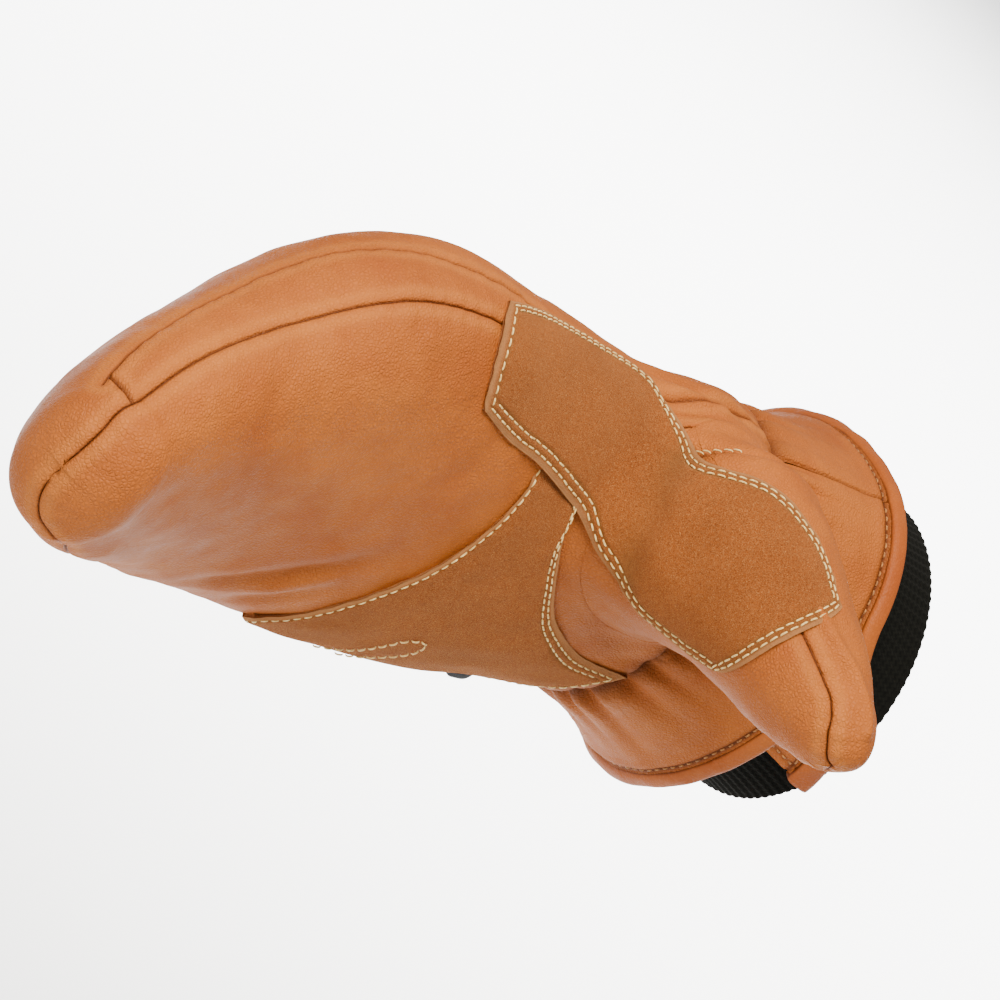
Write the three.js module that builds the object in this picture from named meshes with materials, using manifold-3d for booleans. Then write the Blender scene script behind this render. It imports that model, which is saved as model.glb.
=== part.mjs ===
// Leather mitten in its worn form, in millimetres. The fingers point to -X, the palm faces -Y, the
// thumb side is +Z, and the origin is the centre of the wrist opening.
import * as THREE from 'three';
import Module from 'manifold-3d';

const wasm = await Module();
wasm.setup();

// Driving dimensions
const leather = 2; // wall of the grain leather
const suede = 1.5; // wall of the patches
const knit = 2.6; // wall of the ribbed wrist
const gap = 0.3; // clearance between neighbouring pieces
const handLength = 239; // wrist gather to fingertip, along the hand
const gather = { x: -68, y: 3.5 }; // centre of the wrist gather
const roundness = 2.35; // superellipse exponent of the hand's sections, 2 is an ellipse

// Sections of the hand, along its bent centre line from the wrist gather. Bend is the angle in degrees
// that the hand has turned towards the palm, rise is the section's centre above the origin, and palm,
// back, little and index are the half sizes on those sides.
const handSections = [
  { along: 0, bend: -4, rise: 5, palm: 32.5, back: 32, little: 45.5, index: 47.5 },
  { along: 23, bend: -2.5, rise: 3.5, palm: 32.5, back: 32.5, little: 48.5, index: 50.5 },
  { along: 51, bend: -0.5, rise: -1, palm: 32.5, back: 33, little: 52, index: 51 },
  { along: 84, bend: 3, rise: -2.5, palm: 31.5, back: 34, little: 54.5, index: 53 },
  { along: 117, bend: 9, rise: -2.5, palm: 30, back: 34.5, little: 55.5, index: 55 },
  { along: 150, bend: 17, rise: -5, palm: 27.5, back: 31, little: 51, index: 51 },
  { along: 180, bend: 26.5, rise: -10.5, palm: 24, back: 24.5, little: 40, index: 38 },
  { along: 209, bend: 38, rise: -16, palm: 19, back: 20, little: 27.5, index: 29.5 },
  { along: 226, bend: 46.5, rise: -15.5, palm: 14.7, back: 16.9, little: 19.7, index: 20 },
];
const tipRise = -18; // height of the fingertip

// Thumb: a round section along a straight axis. Flare widens the root on its palm and finger side only.
const thumbAxis = { x: -94, y: -32, z: 36.5, lean: 0.035, drop: -0.015, length: 77 };
const thumbSections = [
  { along: -28, radius: 10, flare: 14 },
  { along: -14, radius: 19, flare: 14 },
  { along: -4, radius: 24.5, flare: 10 },
  { along: 8, radius: 24.8, flare: 6 },
  { along: 22, radius: 22.5, flare: 1.5 },
  { along: 40, radius: 19, flare: 0 },
  { along: 54, radius: 16, flare: 0 },
  { along: 66, radius: 11.5, flare: 0 },
];

// Thumb seams between its front and back panels, as angles round the thumb, and the point where they meet
const thumbSeams = { little: -100, index: 38 };
const thumbHub = { x: -1, z: -1 };
const thumbWedgeRadius = 18; // where the seams' clearance is measured
const thumbFlareMiddle = -75; // degrees round the thumb where its root flares most
const crotchBlend = 16; // how far out the crotch between hand and thumb is rounded

// Seam between palm and the rest: height of the seam surface over the centre line, and its slope across
// the hand
const palmSeam = [
  { along: -20, height: -10, slope: -0.16 },
  { along: 68, height: -10, slope: -0.14 },
  { along: 117, height: -8.6, slope: -0.07 },
  { along: 150, height: -7.5, slope: 0 },
  { along: 180, height: -5.2, slope: 0.09 },
  { along: 209, height: -4.6, slope: 0.2 },
  { along: 227, height: -1.8, slope: 0.27 },
  { along: 234.5, height: 0.6, slope: 0.3 },
  { along: 236.5, height: 3.2, slope: 0.15 },
  { along: 238.2, height: 5.2, slope: 0.03 },
  { along: 262, height: 5.2, slope: 0 },
];

// Index gusset: heights of its seam with the back panel, from its hidden start to the cross seam
const backSeam = [
  { along: 66, height: -3 },
  { along: 104, height: -2 },
  { along: 122, height: 1.5 },
  { along: 141, height: 7 },
  { along: 161, height: 13 },
  { along: 190, height: 13.6 },
  { along: 226, height: 12 },
];

// Suede web patch: its palm-side and back-side edges, a row for each fold from the fingers to the thumb
const webPatchRows = [
  { palmX: -182, palmY: -24.5, palmZ: 33, backX: -183, backY: -5, backZ: 53.5 },
  { palmX: -168, palmY: -25, palmZ: 29, backX: -161, backY: 1.5, backZ: 53 },
  { palmX: -155, palmY: -24.5, palmZ: 27, backX: -142, backY: 3.5, backZ: 52 },
  { palmX: -140, palmY: -25.5, palmZ: 23, backX: -125, backY: 3, backZ: 51.5 },
  { palmX: -133, palmY: -27, palmZ: 21, backX: -118, backY: -3, backZ: 51 },
  { palmX: -125, palmY: -32.5, palmZ: 17, backX: -114, backY: -15, backZ: 50 },
  { palmX: -119.5, palmY: -38, palmZ: 15, backX: -115.5, backY: -25.5, backZ: 50 },
  { palmX: -115, palmY: -42.5, palmZ: 13.5, backX: -115, backY: -31, backZ: 52.5 },
  { palmX: -111, palmY: -47, palmZ: 13, backX: -111, backY: -36, backZ: 57 },
  { palmX: -107.5, palmY: -53.5, palmZ: 14, backX: -105.5, backY: -41, backZ: 60 },
  { palmX: -106, palmY: -61, palmZ: 16.5, backX: -100.5, backY: -48, backZ: 60.5 },
  { palmX: -106.5, palmY: -66, palmZ: 18.5, backX: -96, backY: -59, backZ: 59.5 },
  { palmX: -109, palmY: -75, palmZ: 24, backX: -95, backY: -74, backZ: 56 },
];

// Suede palm patch: its inner edge, towards fingers and thumb, and its outer edge at the little-finger side
const palmPatchRows = [
  { palmX: -176.5, palmY: -17, palmZ: -51, backX: -176, backY: -12.5, backZ: -53 },
  { palmX: -170, palmY: -23.5, palmZ: -39, backX: -167, backY: -6, backZ: -55.5 },
  { palmX: -162, palmY: -27.5, palmZ: -22.5, backX: -155, backY: -4, backZ: -57 },
  { palmX: -155.5, palmY: -28.5, palmZ: -8, backX: -143, backY: -4, backZ: -57 },
  { palmX: -152, palmY: -28, palmZ: 10, backX: -133, backY: -4, backZ: -56.5 },
  { palmX: -151.5, palmY: -26, palmZ: 24.5, backX: -127, backY: -4, backZ: -56 },
  { palmX: -136, palmY: -26.5, palmZ: 19.5, backX: -120, backY: -4, backZ: -55.5 },
  { palmX: -131.5, palmY: -28.5, palmZ: 14, backX: -116, backY: -4, backZ: -55 },
  { palmX: -125, palmY: -30, palmZ: 5, backX: -111, backY: -4, backZ: -54.5 },
  { palmX: -114, palmY: -29.5, palmZ: -5.5, backX: -106, backY: -4.5, backZ: -53.5 },
  { palmX: -104, palmY: -29, palmZ: -11, backX: -101, backY: -5, backZ: -52.5 },
  { palmX: -90, palmY: -28, palmZ: -15, backX: -97, backY: -6, backZ: -51 },
  { palmX: -74.5, palmY: -28.5, palmZ: -15, backX: -93, backY: -7, backZ: -50 },
];

// Cuff: the hem is a tilted ellipse with a half size on each side, and the flare says how late the cuff
// opens out. The slit runs from its root angle to the two flaps' edges at the hem, and its start is a
// share of the cuff's length. Reach and slope carry the thumb-side flap's corner on past the hem.
const hem = { x: -18.5, y: 3, z: 8, palm: 46.5, back: 64, little: 63, index: 49.5 };
const hemTilt = { y: 0.17, z: 0.04 }; // lean towards the arm, for each mm off the hem's centre
const cuffFlare = 1.4;
const cuffSeams = { thumbSide: 101, littleSide: 266 }; // degrees round the wrist, 0 at the back of the hand
const slit = { root: 184, start: 0.4, palmFlapEdge: 187, thumbFlapEdge: 201, reach: 24, slope: 0.27 };
const flapSide = { tuck: 155, reach: 145 }; // degrees where the flap starts to sink and to reach
const binding = { depth: 5.5, overhang: 0.8 };

// Knit wrist: its free end is the wrist opening
const knitEnd = { palm: 43.5, back: 39, little: 44, index: 52 };
const knitStart = -62;
const knitInset = 0.8; // from the leather's inside to the knit at the gather
const knitLag = { back: 1.1, palm: 2.5 }; // how late the knit opens out, larger is later

// Small dark tab folded over the little-finger seam
const tab = { along: 15, width: 10, reach: 6.5, spread: 1.5, angle: 263 };

// The curve through a column of a table, with slopes that suit uneven rows
function tableCurve(rows, key, place = 'along') {
  const x = rows.map((row, index) => (place === null ? index : row[place]));
  const y = rows.map((row) => row[key]);
  const step = x.slice(1).map((value, index) => value - x[index]);
  const slope = step.map((value, index) => (y[index + 1] - y[index]) / value);
  const tangent = y.map((value, index) => {
    if (index === 0) return slope[0];
    if (index === slope.length) return slope[index - 1];
    const before = step[index - 1];
    const after = step[index];
    return (after * slope[index - 1] + before * slope[index]) / (before + after);
  });
  return (where) => {
    const at = THREE.MathUtils.clamp(where, x[0], x[x.length - 1]);
    let index = 0;
    while (index < step.length - 1 && at > x[index + 1]) index += 1;
    const h = step[index];
    const t = (at - x[index]) / h;
    const start = (2 * t ** 3 - 3 * t ** 2 + 1) * y[index] + (t ** 3 - 2 * t ** 2 + t) * h * tangent[index];
    const end = (3 * t ** 2 - 2 * t ** 3) * y[index + 1] + (t ** 3 - t ** 2) * h * tangent[index + 1];
    return start + end;
  };
}

const signedPower = (value, power) => Math.sign(value) * Math.abs(value) ** power;
const radians = THREE.MathUtils.degToRad;

// The hand's bent centre line, walked both ways from the gather in steps of 1 mm
const bendAt = tableCurve(handSections, 'bend');
const walkStart = -30;
const walkEnd = handLength + 40;

function walk(end) {
  const step = Math.sign(end);
  const points = [{ x: gather.x, y: gather.y }];
  for (let along = 0; along !== end; along += step) {
    const last = points[points.length - 1];
    const bend = radians(bendAt(along + step / 2));
    points.push({ x: last.x - Math.cos(bend) * step, y: last.y - Math.sin(bend) * step });
  }
  return points;
}

const centreLine = [...walk(walkStart).reverse(), ...walk(walkEnd).slice(1)];

function centreAt(along) {
  const at = THREE.MathUtils.clamp(along - walkStart, 0, centreLine.length - 1.001);
  const index = Math.floor(at);
  const part = at - index;
  const here = centreLine[index];
  const next = centreLine[index + 1];
  const bend = radians(bendAt(along));
  return { x: here.x + (next.x - here.x) * part, y: here.y + (next.y - here.y) * part, bend };
}

const handCurves = {};
for (const key of ['rise', 'palm', 'back', 'little', 'index']) {
  handCurves[key] = tableCurve(handSections, key);
}
const lastSection = handSections[handSections.length - 1].along;

// Centre height and half sizes of the hand's section, all grown by lift, closing to the fingertip
function handSizes(along, lift) {
  const t = THREE.MathUtils.clamp((along - lastSection) / (handLength + lift - lastSection), 0, 1);
  const close = Math.sqrt(1 - t * t);
  const rise = handCurves.rise(along) * (1 - t) + tipRise * t;
  const size = (key) => (handCurves[key](along) + lift) * close;
  return { rise, palm: size('palm'), back: size('back'), little: size('little'), index: size('index') };
}

// A place given along the hand, over its centre line towards the back, and at a height
function handPlace(along, over, height) {
  const centre = centreAt(along);
  const x = centre.x - Math.sin(centre.bend) * over;
  const y = centre.y + Math.cos(centre.bend) * over;
  return new THREE.Vector3(x, y, height);
}

// A point of the hand's surface: the angle is 0 at the back, 90 on the index side and 180 at the palm
function handPoint(along, degrees, lift) {
  const size = handSizes(along, lift);
  const over = signedPower(Math.cos(radians(degrees)), 2 / roundness);
  const side = signedPower(Math.sin(radians(degrees)), 2 / roundness);
  const overSize = over > 0 ? size.back : size.palm;
  const sideSize = side > 0 ? size.index : size.little;
  return handPlace(along, over * overSize, size.rise + side * sideSize);
}

const thumbRadius = tableCurve(thumbSections, 'radius');
const thumbFlare = tableCurve(thumbSections, 'flare');
const thumbLast = thumbSections[thumbSections.length - 1].along;

// Flare acts fully on the side that faces the palm and the fingers and dies away round to the thumb's back
function flareShare(degrees) {
  const turn = Math.cos(radians(degrees - thumbFlareMiddle));
  return THREE.MathUtils.smoothstep(turn, 0.2, 0.9);
}

function thumbReach(along, degrees, lift) {
  const t = THREE.MathUtils.clamp((along - thumbLast) / (thumbAxis.length + lift - thumbLast), 0, 1);
  const round = thumbRadius(along) + thumbFlare(along) * flareShare(degrees);
  return (round + lift) * Math.sqrt(1 - t * t);
}

// A point of the thumb: the angle is 0 towards the fingers, 90 on the index side and 180 towards the wrist
function thumbPoint(along, degrees, lift) {
  const reach = thumbReach(along, degrees, lift);
  const x = thumbAxis.x + thumbAxis.lean * along - Math.cos(radians(degrees)) * reach;
  const z = thumbAxis.z + thumbAxis.drop * along + Math.sin(radians(degrees)) * reach;
  return new THREE.Vector3(x, thumbAxis.y - along, z);
}

// Distance from a point to the joined surface of hand and thumb, negative inside, with the crotch rounded
function surfaceDistance(point) {
  let along = gather.x - point.x;
  for (let turn = 0; turn < 5; turn += 1) {
    const centre = centreAt(along);
    along -= (point.x - centre.x) * Math.cos(centre.bend) + (point.y - centre.y) * Math.sin(centre.bend);
  }
  const centre = centreAt(along);
  const size = handSizes(along, 0);
  const over = (point.y - centre.y) * Math.cos(centre.bend) - (point.x - centre.x) * Math.sin(centre.bend);
  const side = point.z - size.rise;
  const overShare = Math.abs(over) / (over > 0 ? size.back : size.palm);
  const sideShare = Math.abs(side) / (side > 0 ? size.index : size.little);
  const share = (overShare ** roundness + sideShare ** roundness) ** (1 / roundness);
  const toHand = Math.hypot(over, side) * (1 - 1 / Math.max(share, 0.05));
  const reachOut = thumbAxis.y - point.y;
  const dx = thumbAxis.x + thumbAxis.lean * reachOut - point.x;
  const dz = point.z - thumbAxis.z - thumbAxis.drop * reachOut;
  const degrees = THREE.MathUtils.radToDeg(Math.atan2(dz, dx));
  const toThumb = Math.hypot(dx, dz) - thumbReach(reachOut, degrees, 0);
  const near = Math.max(crotchBlend - Math.abs(toHand - toThumb), 0);
  return Math.min(toHand, toThumb) - (near * near) / (4 * crotchBlend);
}

// Moves a point along the slope of the distance until it lies at the wanted distance off the surface
function settle(start, lift) {
  const point = start.clone();
  const probe = 0.5;
  for (let turn = 0; turn < 14; turn += 1) {
    const here = surfaceDistance(point);
    const slope = new THREE.Vector3();
    for (const axis of ['x', 'y', 'z']) {
      const moved = point.clone();
      moved[axis] += probe;
      slope[axis] = (surfaceDistance(moved) - here) / probe;
    }
    const amount = THREE.MathUtils.clamp((here - lift) / Math.max(slope.length(), 0.3), -3, 3);
    point.addScaledVector(slope.normalize(), -amount);
  }
  return point;
}

// A manifold solid from points and triangles, turned the right way out
function toManifold(points, triangles) {
  const volume = (a, b, c) => points[a].dot(new THREE.Vector3().crossVectors(points[b], points[c]));
  let total = 0;
  for (let at = 0; at < triangles.length; at += 3) total += volume(...triangles.slice(at, at + 3));
  const triVerts = new Uint32Array(total < 0 ? triangles.toReversed() : triangles);
  const vertProperties = new Float32Array(points.flatMap((point) => [point.x, point.y, point.z]));
  const mesh = new wasm.Mesh({ numProp: 3, vertProperties, triVerts });
  return new wasm.Manifold(mesh);
}

// A closed solid through rings of points, each end closed by a fan
function ringSolid(rings) {
  const count = rings[0].length;
  const points = rings.flat();
  const triangles = [];
  for (let row = 0; row < rings.length - 1; row += 1) {
    for (let column = 0; column < count; column += 1) {
      const next = (column + 1) % count;
      const a = row * count + column;
      const b = row * count + next;
      triangles.push(a, b, b + count, a, b + count, a + count);
    }
  }
  const closeEnd = (ring, offset, flip) => {
    const middle = ring.reduce((sum, point) => sum.add(point), new THREE.Vector3()).divideScalar(count);
    const hub = points.push(middle) - 1;
    for (let column = 0; column < count; column += 1) {
      const a = offset + column;
      const b = offset + ((column + 1) % count);
      triangles.push(...(flip ? [hub, b, a] : [hub, a, b]));
    }
  };
  const lastRing = (rings.length - 1) * count;
  closeEnd(rings[0], 0, true);
  closeEnd(rings[rings.length - 1], lastRing, false);
  return toManifold(points, triangles);
}

// A closed wall between an outer and an inner grid of points
function wallSolid(outer, inner) {
  const rows = outer.length;
  const columns = outer[0].length;
  const points = [...outer.flat(), ...inner.flat()];
  const under = rows * columns;
  const triangles = [];
  const quad = (a, b, c, d) => triangles.push(a, b, c, a, c, d);
  for (let row = 0; row < rows - 1; row += 1) {
    for (let column = 0; column < columns - 1; column += 1) {
      const a = row * columns + column;
      quad(a, a + 1, a + columns + 1, a + columns);
      quad(under + a, under + a + columns, under + a + columns + 1, under + a + 1);
    }
    const left = row * columns;
    const right = left + columns - 1;
    quad(left, left + columns, under + left + columns, under + left);
    quad(right, under + right, under + right + columns, right + columns);
  }
  for (let column = 0; column < columns - 1; column += 1) {
    const top = column;
    const bottom = (rows - 1) * columns + column;
    quad(top, under + top, under + top + 1, top + 1);
    quad(bottom, bottom + 1, under + bottom + 1, under + bottom);
  }
  return toManifold(points, triangles);
}

// Even places from one value to another
function spread(from, to, count) {
  return Array.from({ length: count + 1 }, (unused, index) => from + ((to - from) * index) / count);
}

// Stations along a tapering form: even up to the last section, closer together round the tip
function stations(start, last, end, even, tip) {
  const turns = spread(0, Math.PI / 2, tip).slice(1, -1);
  return [...spread(start, last, even), ...turns.map((turn) => last + (end - last) * Math.sin(turn))];
}

// Hand and thumb as closed forms, from which the leather shells are cut
const handAngles = spread(0, 360, 34).slice(0, -1);
const thumbAngles = spread(0, 360, 22).slice(0, -1);
const openEnd = 12; // how far an inner form runs on past an open end

function handForm(lift, start) {
  const places = stations(start, lastSection, handLength + lift, 17, 5);
  return ringSolid(places.map((along) => handAngles.map((degrees) => handPoint(along, degrees, lift))));
}

function thumbForm(lift, start) {
  const places = stations(start, thumbLast, thumbAxis.length + lift, 12, 4);
  return ringSolid(places.map((along) => thumbAngles.map((degrees) => thumbPoint(along, degrees, lift))));
}

const thumbRoot = thumbSections[0].along;
const handInside = handForm(-leather, -openEnd);
const handShell = handForm(0, 0).subtract(handInside).subtract(thumbForm(gap, thumbRoot));
const thumbInside = thumbForm(-leather, thumbRoot - 1);
const thumbShell = thumbForm(0, thumbRoot).subtract(thumbInside).subtract(handInside);

// Everything on the palm side of the palm seam, moved by shift towards the back
const farOut = 90; // beyond every side of the hand
const farUnder = -62; // beyond the palm, short of the centre of the bend
const seamHeight = tableCurve(palmSeam, 'height');
const seamSlope = tableCurve(palmSeam, 'slope');

function palmSide(shift) {
  const places = spread(-20, handLength + 16, 22);
  const rings = places.map((along) => {
    const rise = handCurves.rise(along);
    const over = (z) => seamHeight(along) + seamSlope(along) * (z - rise) + shift;
    return [
      handPlace(along, over(-farOut), -farOut),
      handPlace(along, over(farOut), farOut),
      handPlace(along, farUnder, farOut),
      handPlace(along, farUnder, -farOut),
    ];
  });
  return ringSolid(rings);
}

// The room of the index gusset, grown by shift at its seams
const backSeamHeight = tableCurve(backSeam, 'height');
const gussetDepth = 0.25; // how far in from the index side its room starts, a share of the half size
const gussetUnder = 25;

function gussetRoom(shift) {
  const start = backSeam[0].along - shift;
  const end = backSeam[backSeam.length - 1].along + shift;
  const rings = spread(start, end, 14).map((along) => {
    const inside = handCurves.rise(along) + handCurves.index(along) * gussetDepth;
    const low = seamHeight(along) - gussetUnder;
    const high = backSeamHeight(along) + shift;
    return [
      handPlace(along, high, inside),
      handPlace(along, high, farOut),
      handPlace(along, low, farOut),
      handPlace(along, low, inside),
    ];
  });
  return ringSolid(rings);
}

const thumbRoomEnds = [20, -130]; // Y where the thumb's wedges of room start and end

// A wedge of room along the thumb between two angles, grown by shift at both faces
function thumbWedge(from, to, shift) {
  const grow = THREE.MathUtils.radToDeg(Math.asin(shift / thumbWedgeRadius));
  const rings = thumbRoomEnds.map((y) => {
    const along = thumbAxis.y - y;
    const hub = new THREE.Vector3(
      thumbAxis.x + thumbAxis.lean * along + thumbHub.x,
      y,
      thumbAxis.z + thumbAxis.drop * along + thumbHub.z,
    );
    const rim = spread(from - grow, to + grow, 4).map((degrees) => new THREE.Vector3(
      hub.x - Math.cos(radians(degrees)) * farOut,
      y,
      hub.z + Math.sin(radians(degrees)) * farOut,
    ));
    return [hub, ...rim];
  });
  return ringSolid(rings);
}

const halfGap = gap / 2;
const aroundHand = handShell.subtract(palmSide(halfGap));
const palmPanel = handShell.intersect(palmSide(-halfGap));
const indexGusset = aroundHand.intersect(gussetRoom(-halfGap));
const backPanel = aroundHand.subtract(gussetRoom(halfGap));
const thumbFront = thumbShell.intersect(thumbWedge(thumbSeams.little, thumbSeams.index, -halfGap));
const thumbBack = thumbShell.subtract(thumbWedge(thumbSeams.little, thumbSeams.index, halfGap));

// A patch: a wall of suede between two edges, laid over the joined surface of hand and thumb. Its
// underside is first sunk a little and then cut clear of both forms, so that it follows their facets.
const patchSink = 0.5;
const underPatches = handForm(gap, -gap).add(thumbForm(gap, thumbRoot));

function patch(rows, rowSteps, columnSteps) {
  const curve = (key) => tableCurve(rows, key, null);
  const edge = (side) => ['X', 'Y', 'Z'].map((axis) => curve(side + axis));
  const palmEdge = edge('palm');
  const backEdge = edge('back');
  const at = (curves, row) => new THREE.Vector3(...curves.map((value) => value(row)));
  const outer = [];
  const inner = [];
  for (const row of spread(0, rows.length - 1, rowSteps)) {
    const from = at(palmEdge, row);
    const to = at(backEdge, row);
    const rough = spread(0, 1, 3 * columnSteps).map((share) => from.clone().lerp(to, share));
    const path = new THREE.CatmullRomCurve3(rough.map((point) => settle(point, gap + suede)));
    const line = path.getSpacedPoints(columnSteps).map((point) => settle(point, gap + suede));
    outer.push(line);
    inner.push(line.map((point) => settle(point, -patchSink)));
  }
  return wallSolid(outer, inner).subtract(underPatches);
}

// Cuff: from the gathered wrist to the hem ellipse
const hemTiltReach = (over, side) => hemTilt.y * over + hemTilt.z * side;

function hemPoint(degrees, lift) {
  const over = Math.cos(radians(degrees));
  const side = Math.sin(radians(degrees));
  const y = over * ((over > 0 ? hem.back : hem.palm) + lift);
  const z = side * ((side > 0 ? hem.index : hem.little) + lift);
  return new THREE.Vector3(hem.x + hemTiltReach(y, z), hem.y + y, hem.z + z);
}

function cuffPoint(share, degrees, lift) {
  const start = handPoint(-gap, degrees, lift);
  const end = hemPoint(degrees, lift);
  const open = Math.min(share, 1) ** cuffFlare;
  const point = start.clone().lerp(end, open);
  point.x = start.x + (end.x - start.x) * share;
  return point;
}

// At the slit the thumb-side flap sinks under the palm flap, and its corner reaches on towards the arm
const tuck = leather + binding.overhang + 2 * gap;
const tuckMargin = 6; // degrees before the palm flap's edge where the tuck is full
const reachMargin = 4; // degrees past the flap's edge where the reach would be full

function tuckShare(degrees, share) {
  const round = THREE.MathUtils.smoothstep(degrees, flapSide.tuck, slit.palmFlapEdge - tuckMargin);
  return round * THREE.MathUtils.smoothstep(share, 0, slit.start);
}

const slitShare = (share) => Math.max(share - slit.start, 0) / (1 - slit.start);
const palmFlapEdge = (share) => slit.root + halfGap + (slit.palmFlapEdge - slit.root) * slitShare(share);
const thumbFlapEdge = (share) => slit.root - halfGap + (slit.thumbFlapEdge - slit.root) * slitShare(share);
const reachEnd = slit.thumbFlapEdge + reachMargin;
const reachShare = (degrees) => THREE.MathUtils.smoothstep(degrees, flapSide.reach, reachEnd);

function thumbFlapPoint(share, degrees, lift) {
  const length = hem.x - gather.x;
  const whole = share * (length + slit.reach * reachShare(degrees));
  const onCuff = Math.min(whole / length, 1);
  const point = cuffPoint(onCuff, degrees, lift - tuck * tuckShare(degrees, onCuff));
  const beyond = Math.max(whole - length, 0);
  point.x += beyond;
  point.y -= beyond * slit.slope;
  return point;
}

const bindingShare = 1 - binding.depth / (hem.x - gather.x);
const leatherShare = bindingShare - gap / (hem.x - gather.x);

function cuffPiece(place, from, to) {
  const shares = spread(0, leatherShare, 5);
  const columns = Math.round((to(1) - from(1)) / 8);
  const angles = (share) => spread(from(share), to(share), columns);
  const grid = (lift) => shares.map((share) => angles(share).map((degrees) => place(share, degrees, lift)));
  return wallSolid(grid(0), grid(-leather));
}

// The hem binding runs from the palm flap's edge round the back of the hand to the thumb-side flap's corner
function hemBinding() {
  const turn = 360;
  const angles = spread(slit.palmFlapEdge, slit.thumbFlapEdge + turn, 52);
  const round = [1, 0.8, 0.25]; // the binding's edge turns in, from its seam to the hem
  const shares = spread(bindingShare, 1, round.length - 1);
  const place = (share, degrees, lift) => {
    const onFlap = degrees > cuffSeams.thumbSide + turn;
    return onFlap ? thumbFlapPoint(share, degrees - turn, lift) : cuffPoint(share, degrees, lift);
  };
  const side = (share, lift) => angles.map((degrees) => place(share, degrees, lift));
  const over = round.map((part) => part * binding.overhang);
  const outside = shares.map((share, row) => side(share, over[row]));
  const inside = shares.map((share, row) => side(share, -leather - over[row]));
  return wallSolid(outside, inside);
}

// Knit wrist: from the gathered leather to its free end at the wrist opening
function knitPoint(x, degrees, lift) {
  const palmShare = THREE.MathUtils.smoothstep(-Math.cos(radians(degrees)), 0, 0.8);
  const lag = knitLag.back + (knitLag.palm - knitLag.back) * palmShare;
  const over = Math.cos(radians(degrees));
  const side = Math.sin(radians(degrees));
  const y = over * ((over > 0 ? knitEnd.back : knitEnd.palm) + lift);
  const z = side * ((side > 0 ? knitEnd.index : knitEnd.little) + lift);
  const start = handPoint(-gap, degrees, lift - leather - knitInset);
  const share = Math.max((x - knitStart) / -knitStart, 0) ** lag;
  return new THREE.Vector3(x, start.y + (y - start.y) * share, start.z + (z - start.z) * share);
}

function knitWrist() {
  const ring = (x, lift) => handAngles.map((degrees) => knitPoint(x, degrees, lift));
  const form = (places, lift) => ringSolid(places.map((x) => ring(x, lift)));
  const hollow = form([knitStart - 1, ...spread(knitStart, 1, 4)], -knit);
  return form(spread(knitStart, 0, 4), 0).subtract(hollow);
}

function sideTab() {
  const angles = [tab.angle - tab.spread, tab.angle + tab.spread];
  const places = spread(tab.along, tab.along + tab.width, 3);
  const grid = (lift) => places.map((along) => angles.map((degrees) => handPoint(along, degrees, lift)));
  return wallSolid(grid(tab.reach), grid(gap));
}

function addPiece(group, name, solid, look) {
  const mesh = solid.getMesh();
  const geometry = new THREE.BufferGeometry();
  const positions = new Float32Array(mesh.vertProperties);
  const corners = new Uint32Array(mesh.triVerts);
  geometry.setAttribute('position', new THREE.BufferAttribute(positions, 3));
  geometry.setIndex(new THREE.BufferAttribute(corners, 1));
  geometry.computeVertexNormals();
  const piece = new THREE.Mesh(geometry, new THREE.MeshStandardMaterial(look));
  piece.name = name;
  group.add(piece);
}

const grainLook = { color: 0xc97f4a, roughness: 0.6 };
const suedeLook = { color: 0xb9764a, roughness: 0.95 };
const bindingLook = { color: 0xb86a3c, roughness: 0.6 };
const knitLook = { color: 0x22241f, roughness: 0.95 };
const tabLook = { color: 0x20242c, roughness: 0.8 };

const cuffBack = cuffPiece(
  cuffPoint,
  () => cuffSeams.littleSide + halfGap,
  () => cuffSeams.thumbSide + 360 - halfGap,
);
const cuffPalmFlap = cuffPiece(cuffPoint, palmFlapEdge, () => cuffSeams.littleSide - halfGap);
const cuffThumbFlap = cuffPiece(thumbFlapPoint, () => cuffSeams.thumbSide + halfGap, thumbFlapEdge);

const mitten = new THREE.Group();
addPiece(mitten, 'palm_panel', palmPanel, grainLook);
addPiece(mitten, 'index_gusset', indexGusset, grainLook);
addPiece(mitten, 'back_panel', backPanel, grainLook);
addPiece(mitten, 'thumb_front_panel', thumbFront, grainLook);
addPiece(mitten, 'thumb_back_panel', thumbBack, grainLook);
addPiece(mitten, 'web_patch', patch(webPatchRows, 24, 10), suedeLook);
addPiece(mitten, 'palm_patch', patch(palmPatchRows, 16, 7), suedeLook);
addPiece(mitten, 'cuff_back', cuffBack, grainLook);
addPiece(mitten, 'cuff_palm_flap', cuffPalmFlap, grainLook);
addPiece(mitten, 'cuff_thumb_flap', cuffThumbFlap, grainLook);
addPiece(mitten, 'hem_binding', hemBinding(), bindingLook);
addPiece(mitten, 'knit_wrist', knitWrist(), knitLook);
addPiece(mitten, 'side_tab', sideTab(), tabLook);

export default mitten;
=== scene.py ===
# Leather mitten in its worn form: the looks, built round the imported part.
# The fingers point to -X, the palm faces -Y and the thumb side is +Z.
# Forms are worked out in mm with the part's own tables, and meshes are made in metres.
import bmesh
import bpy
import numpy as np
from mathutils import Matrix, Vector


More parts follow.
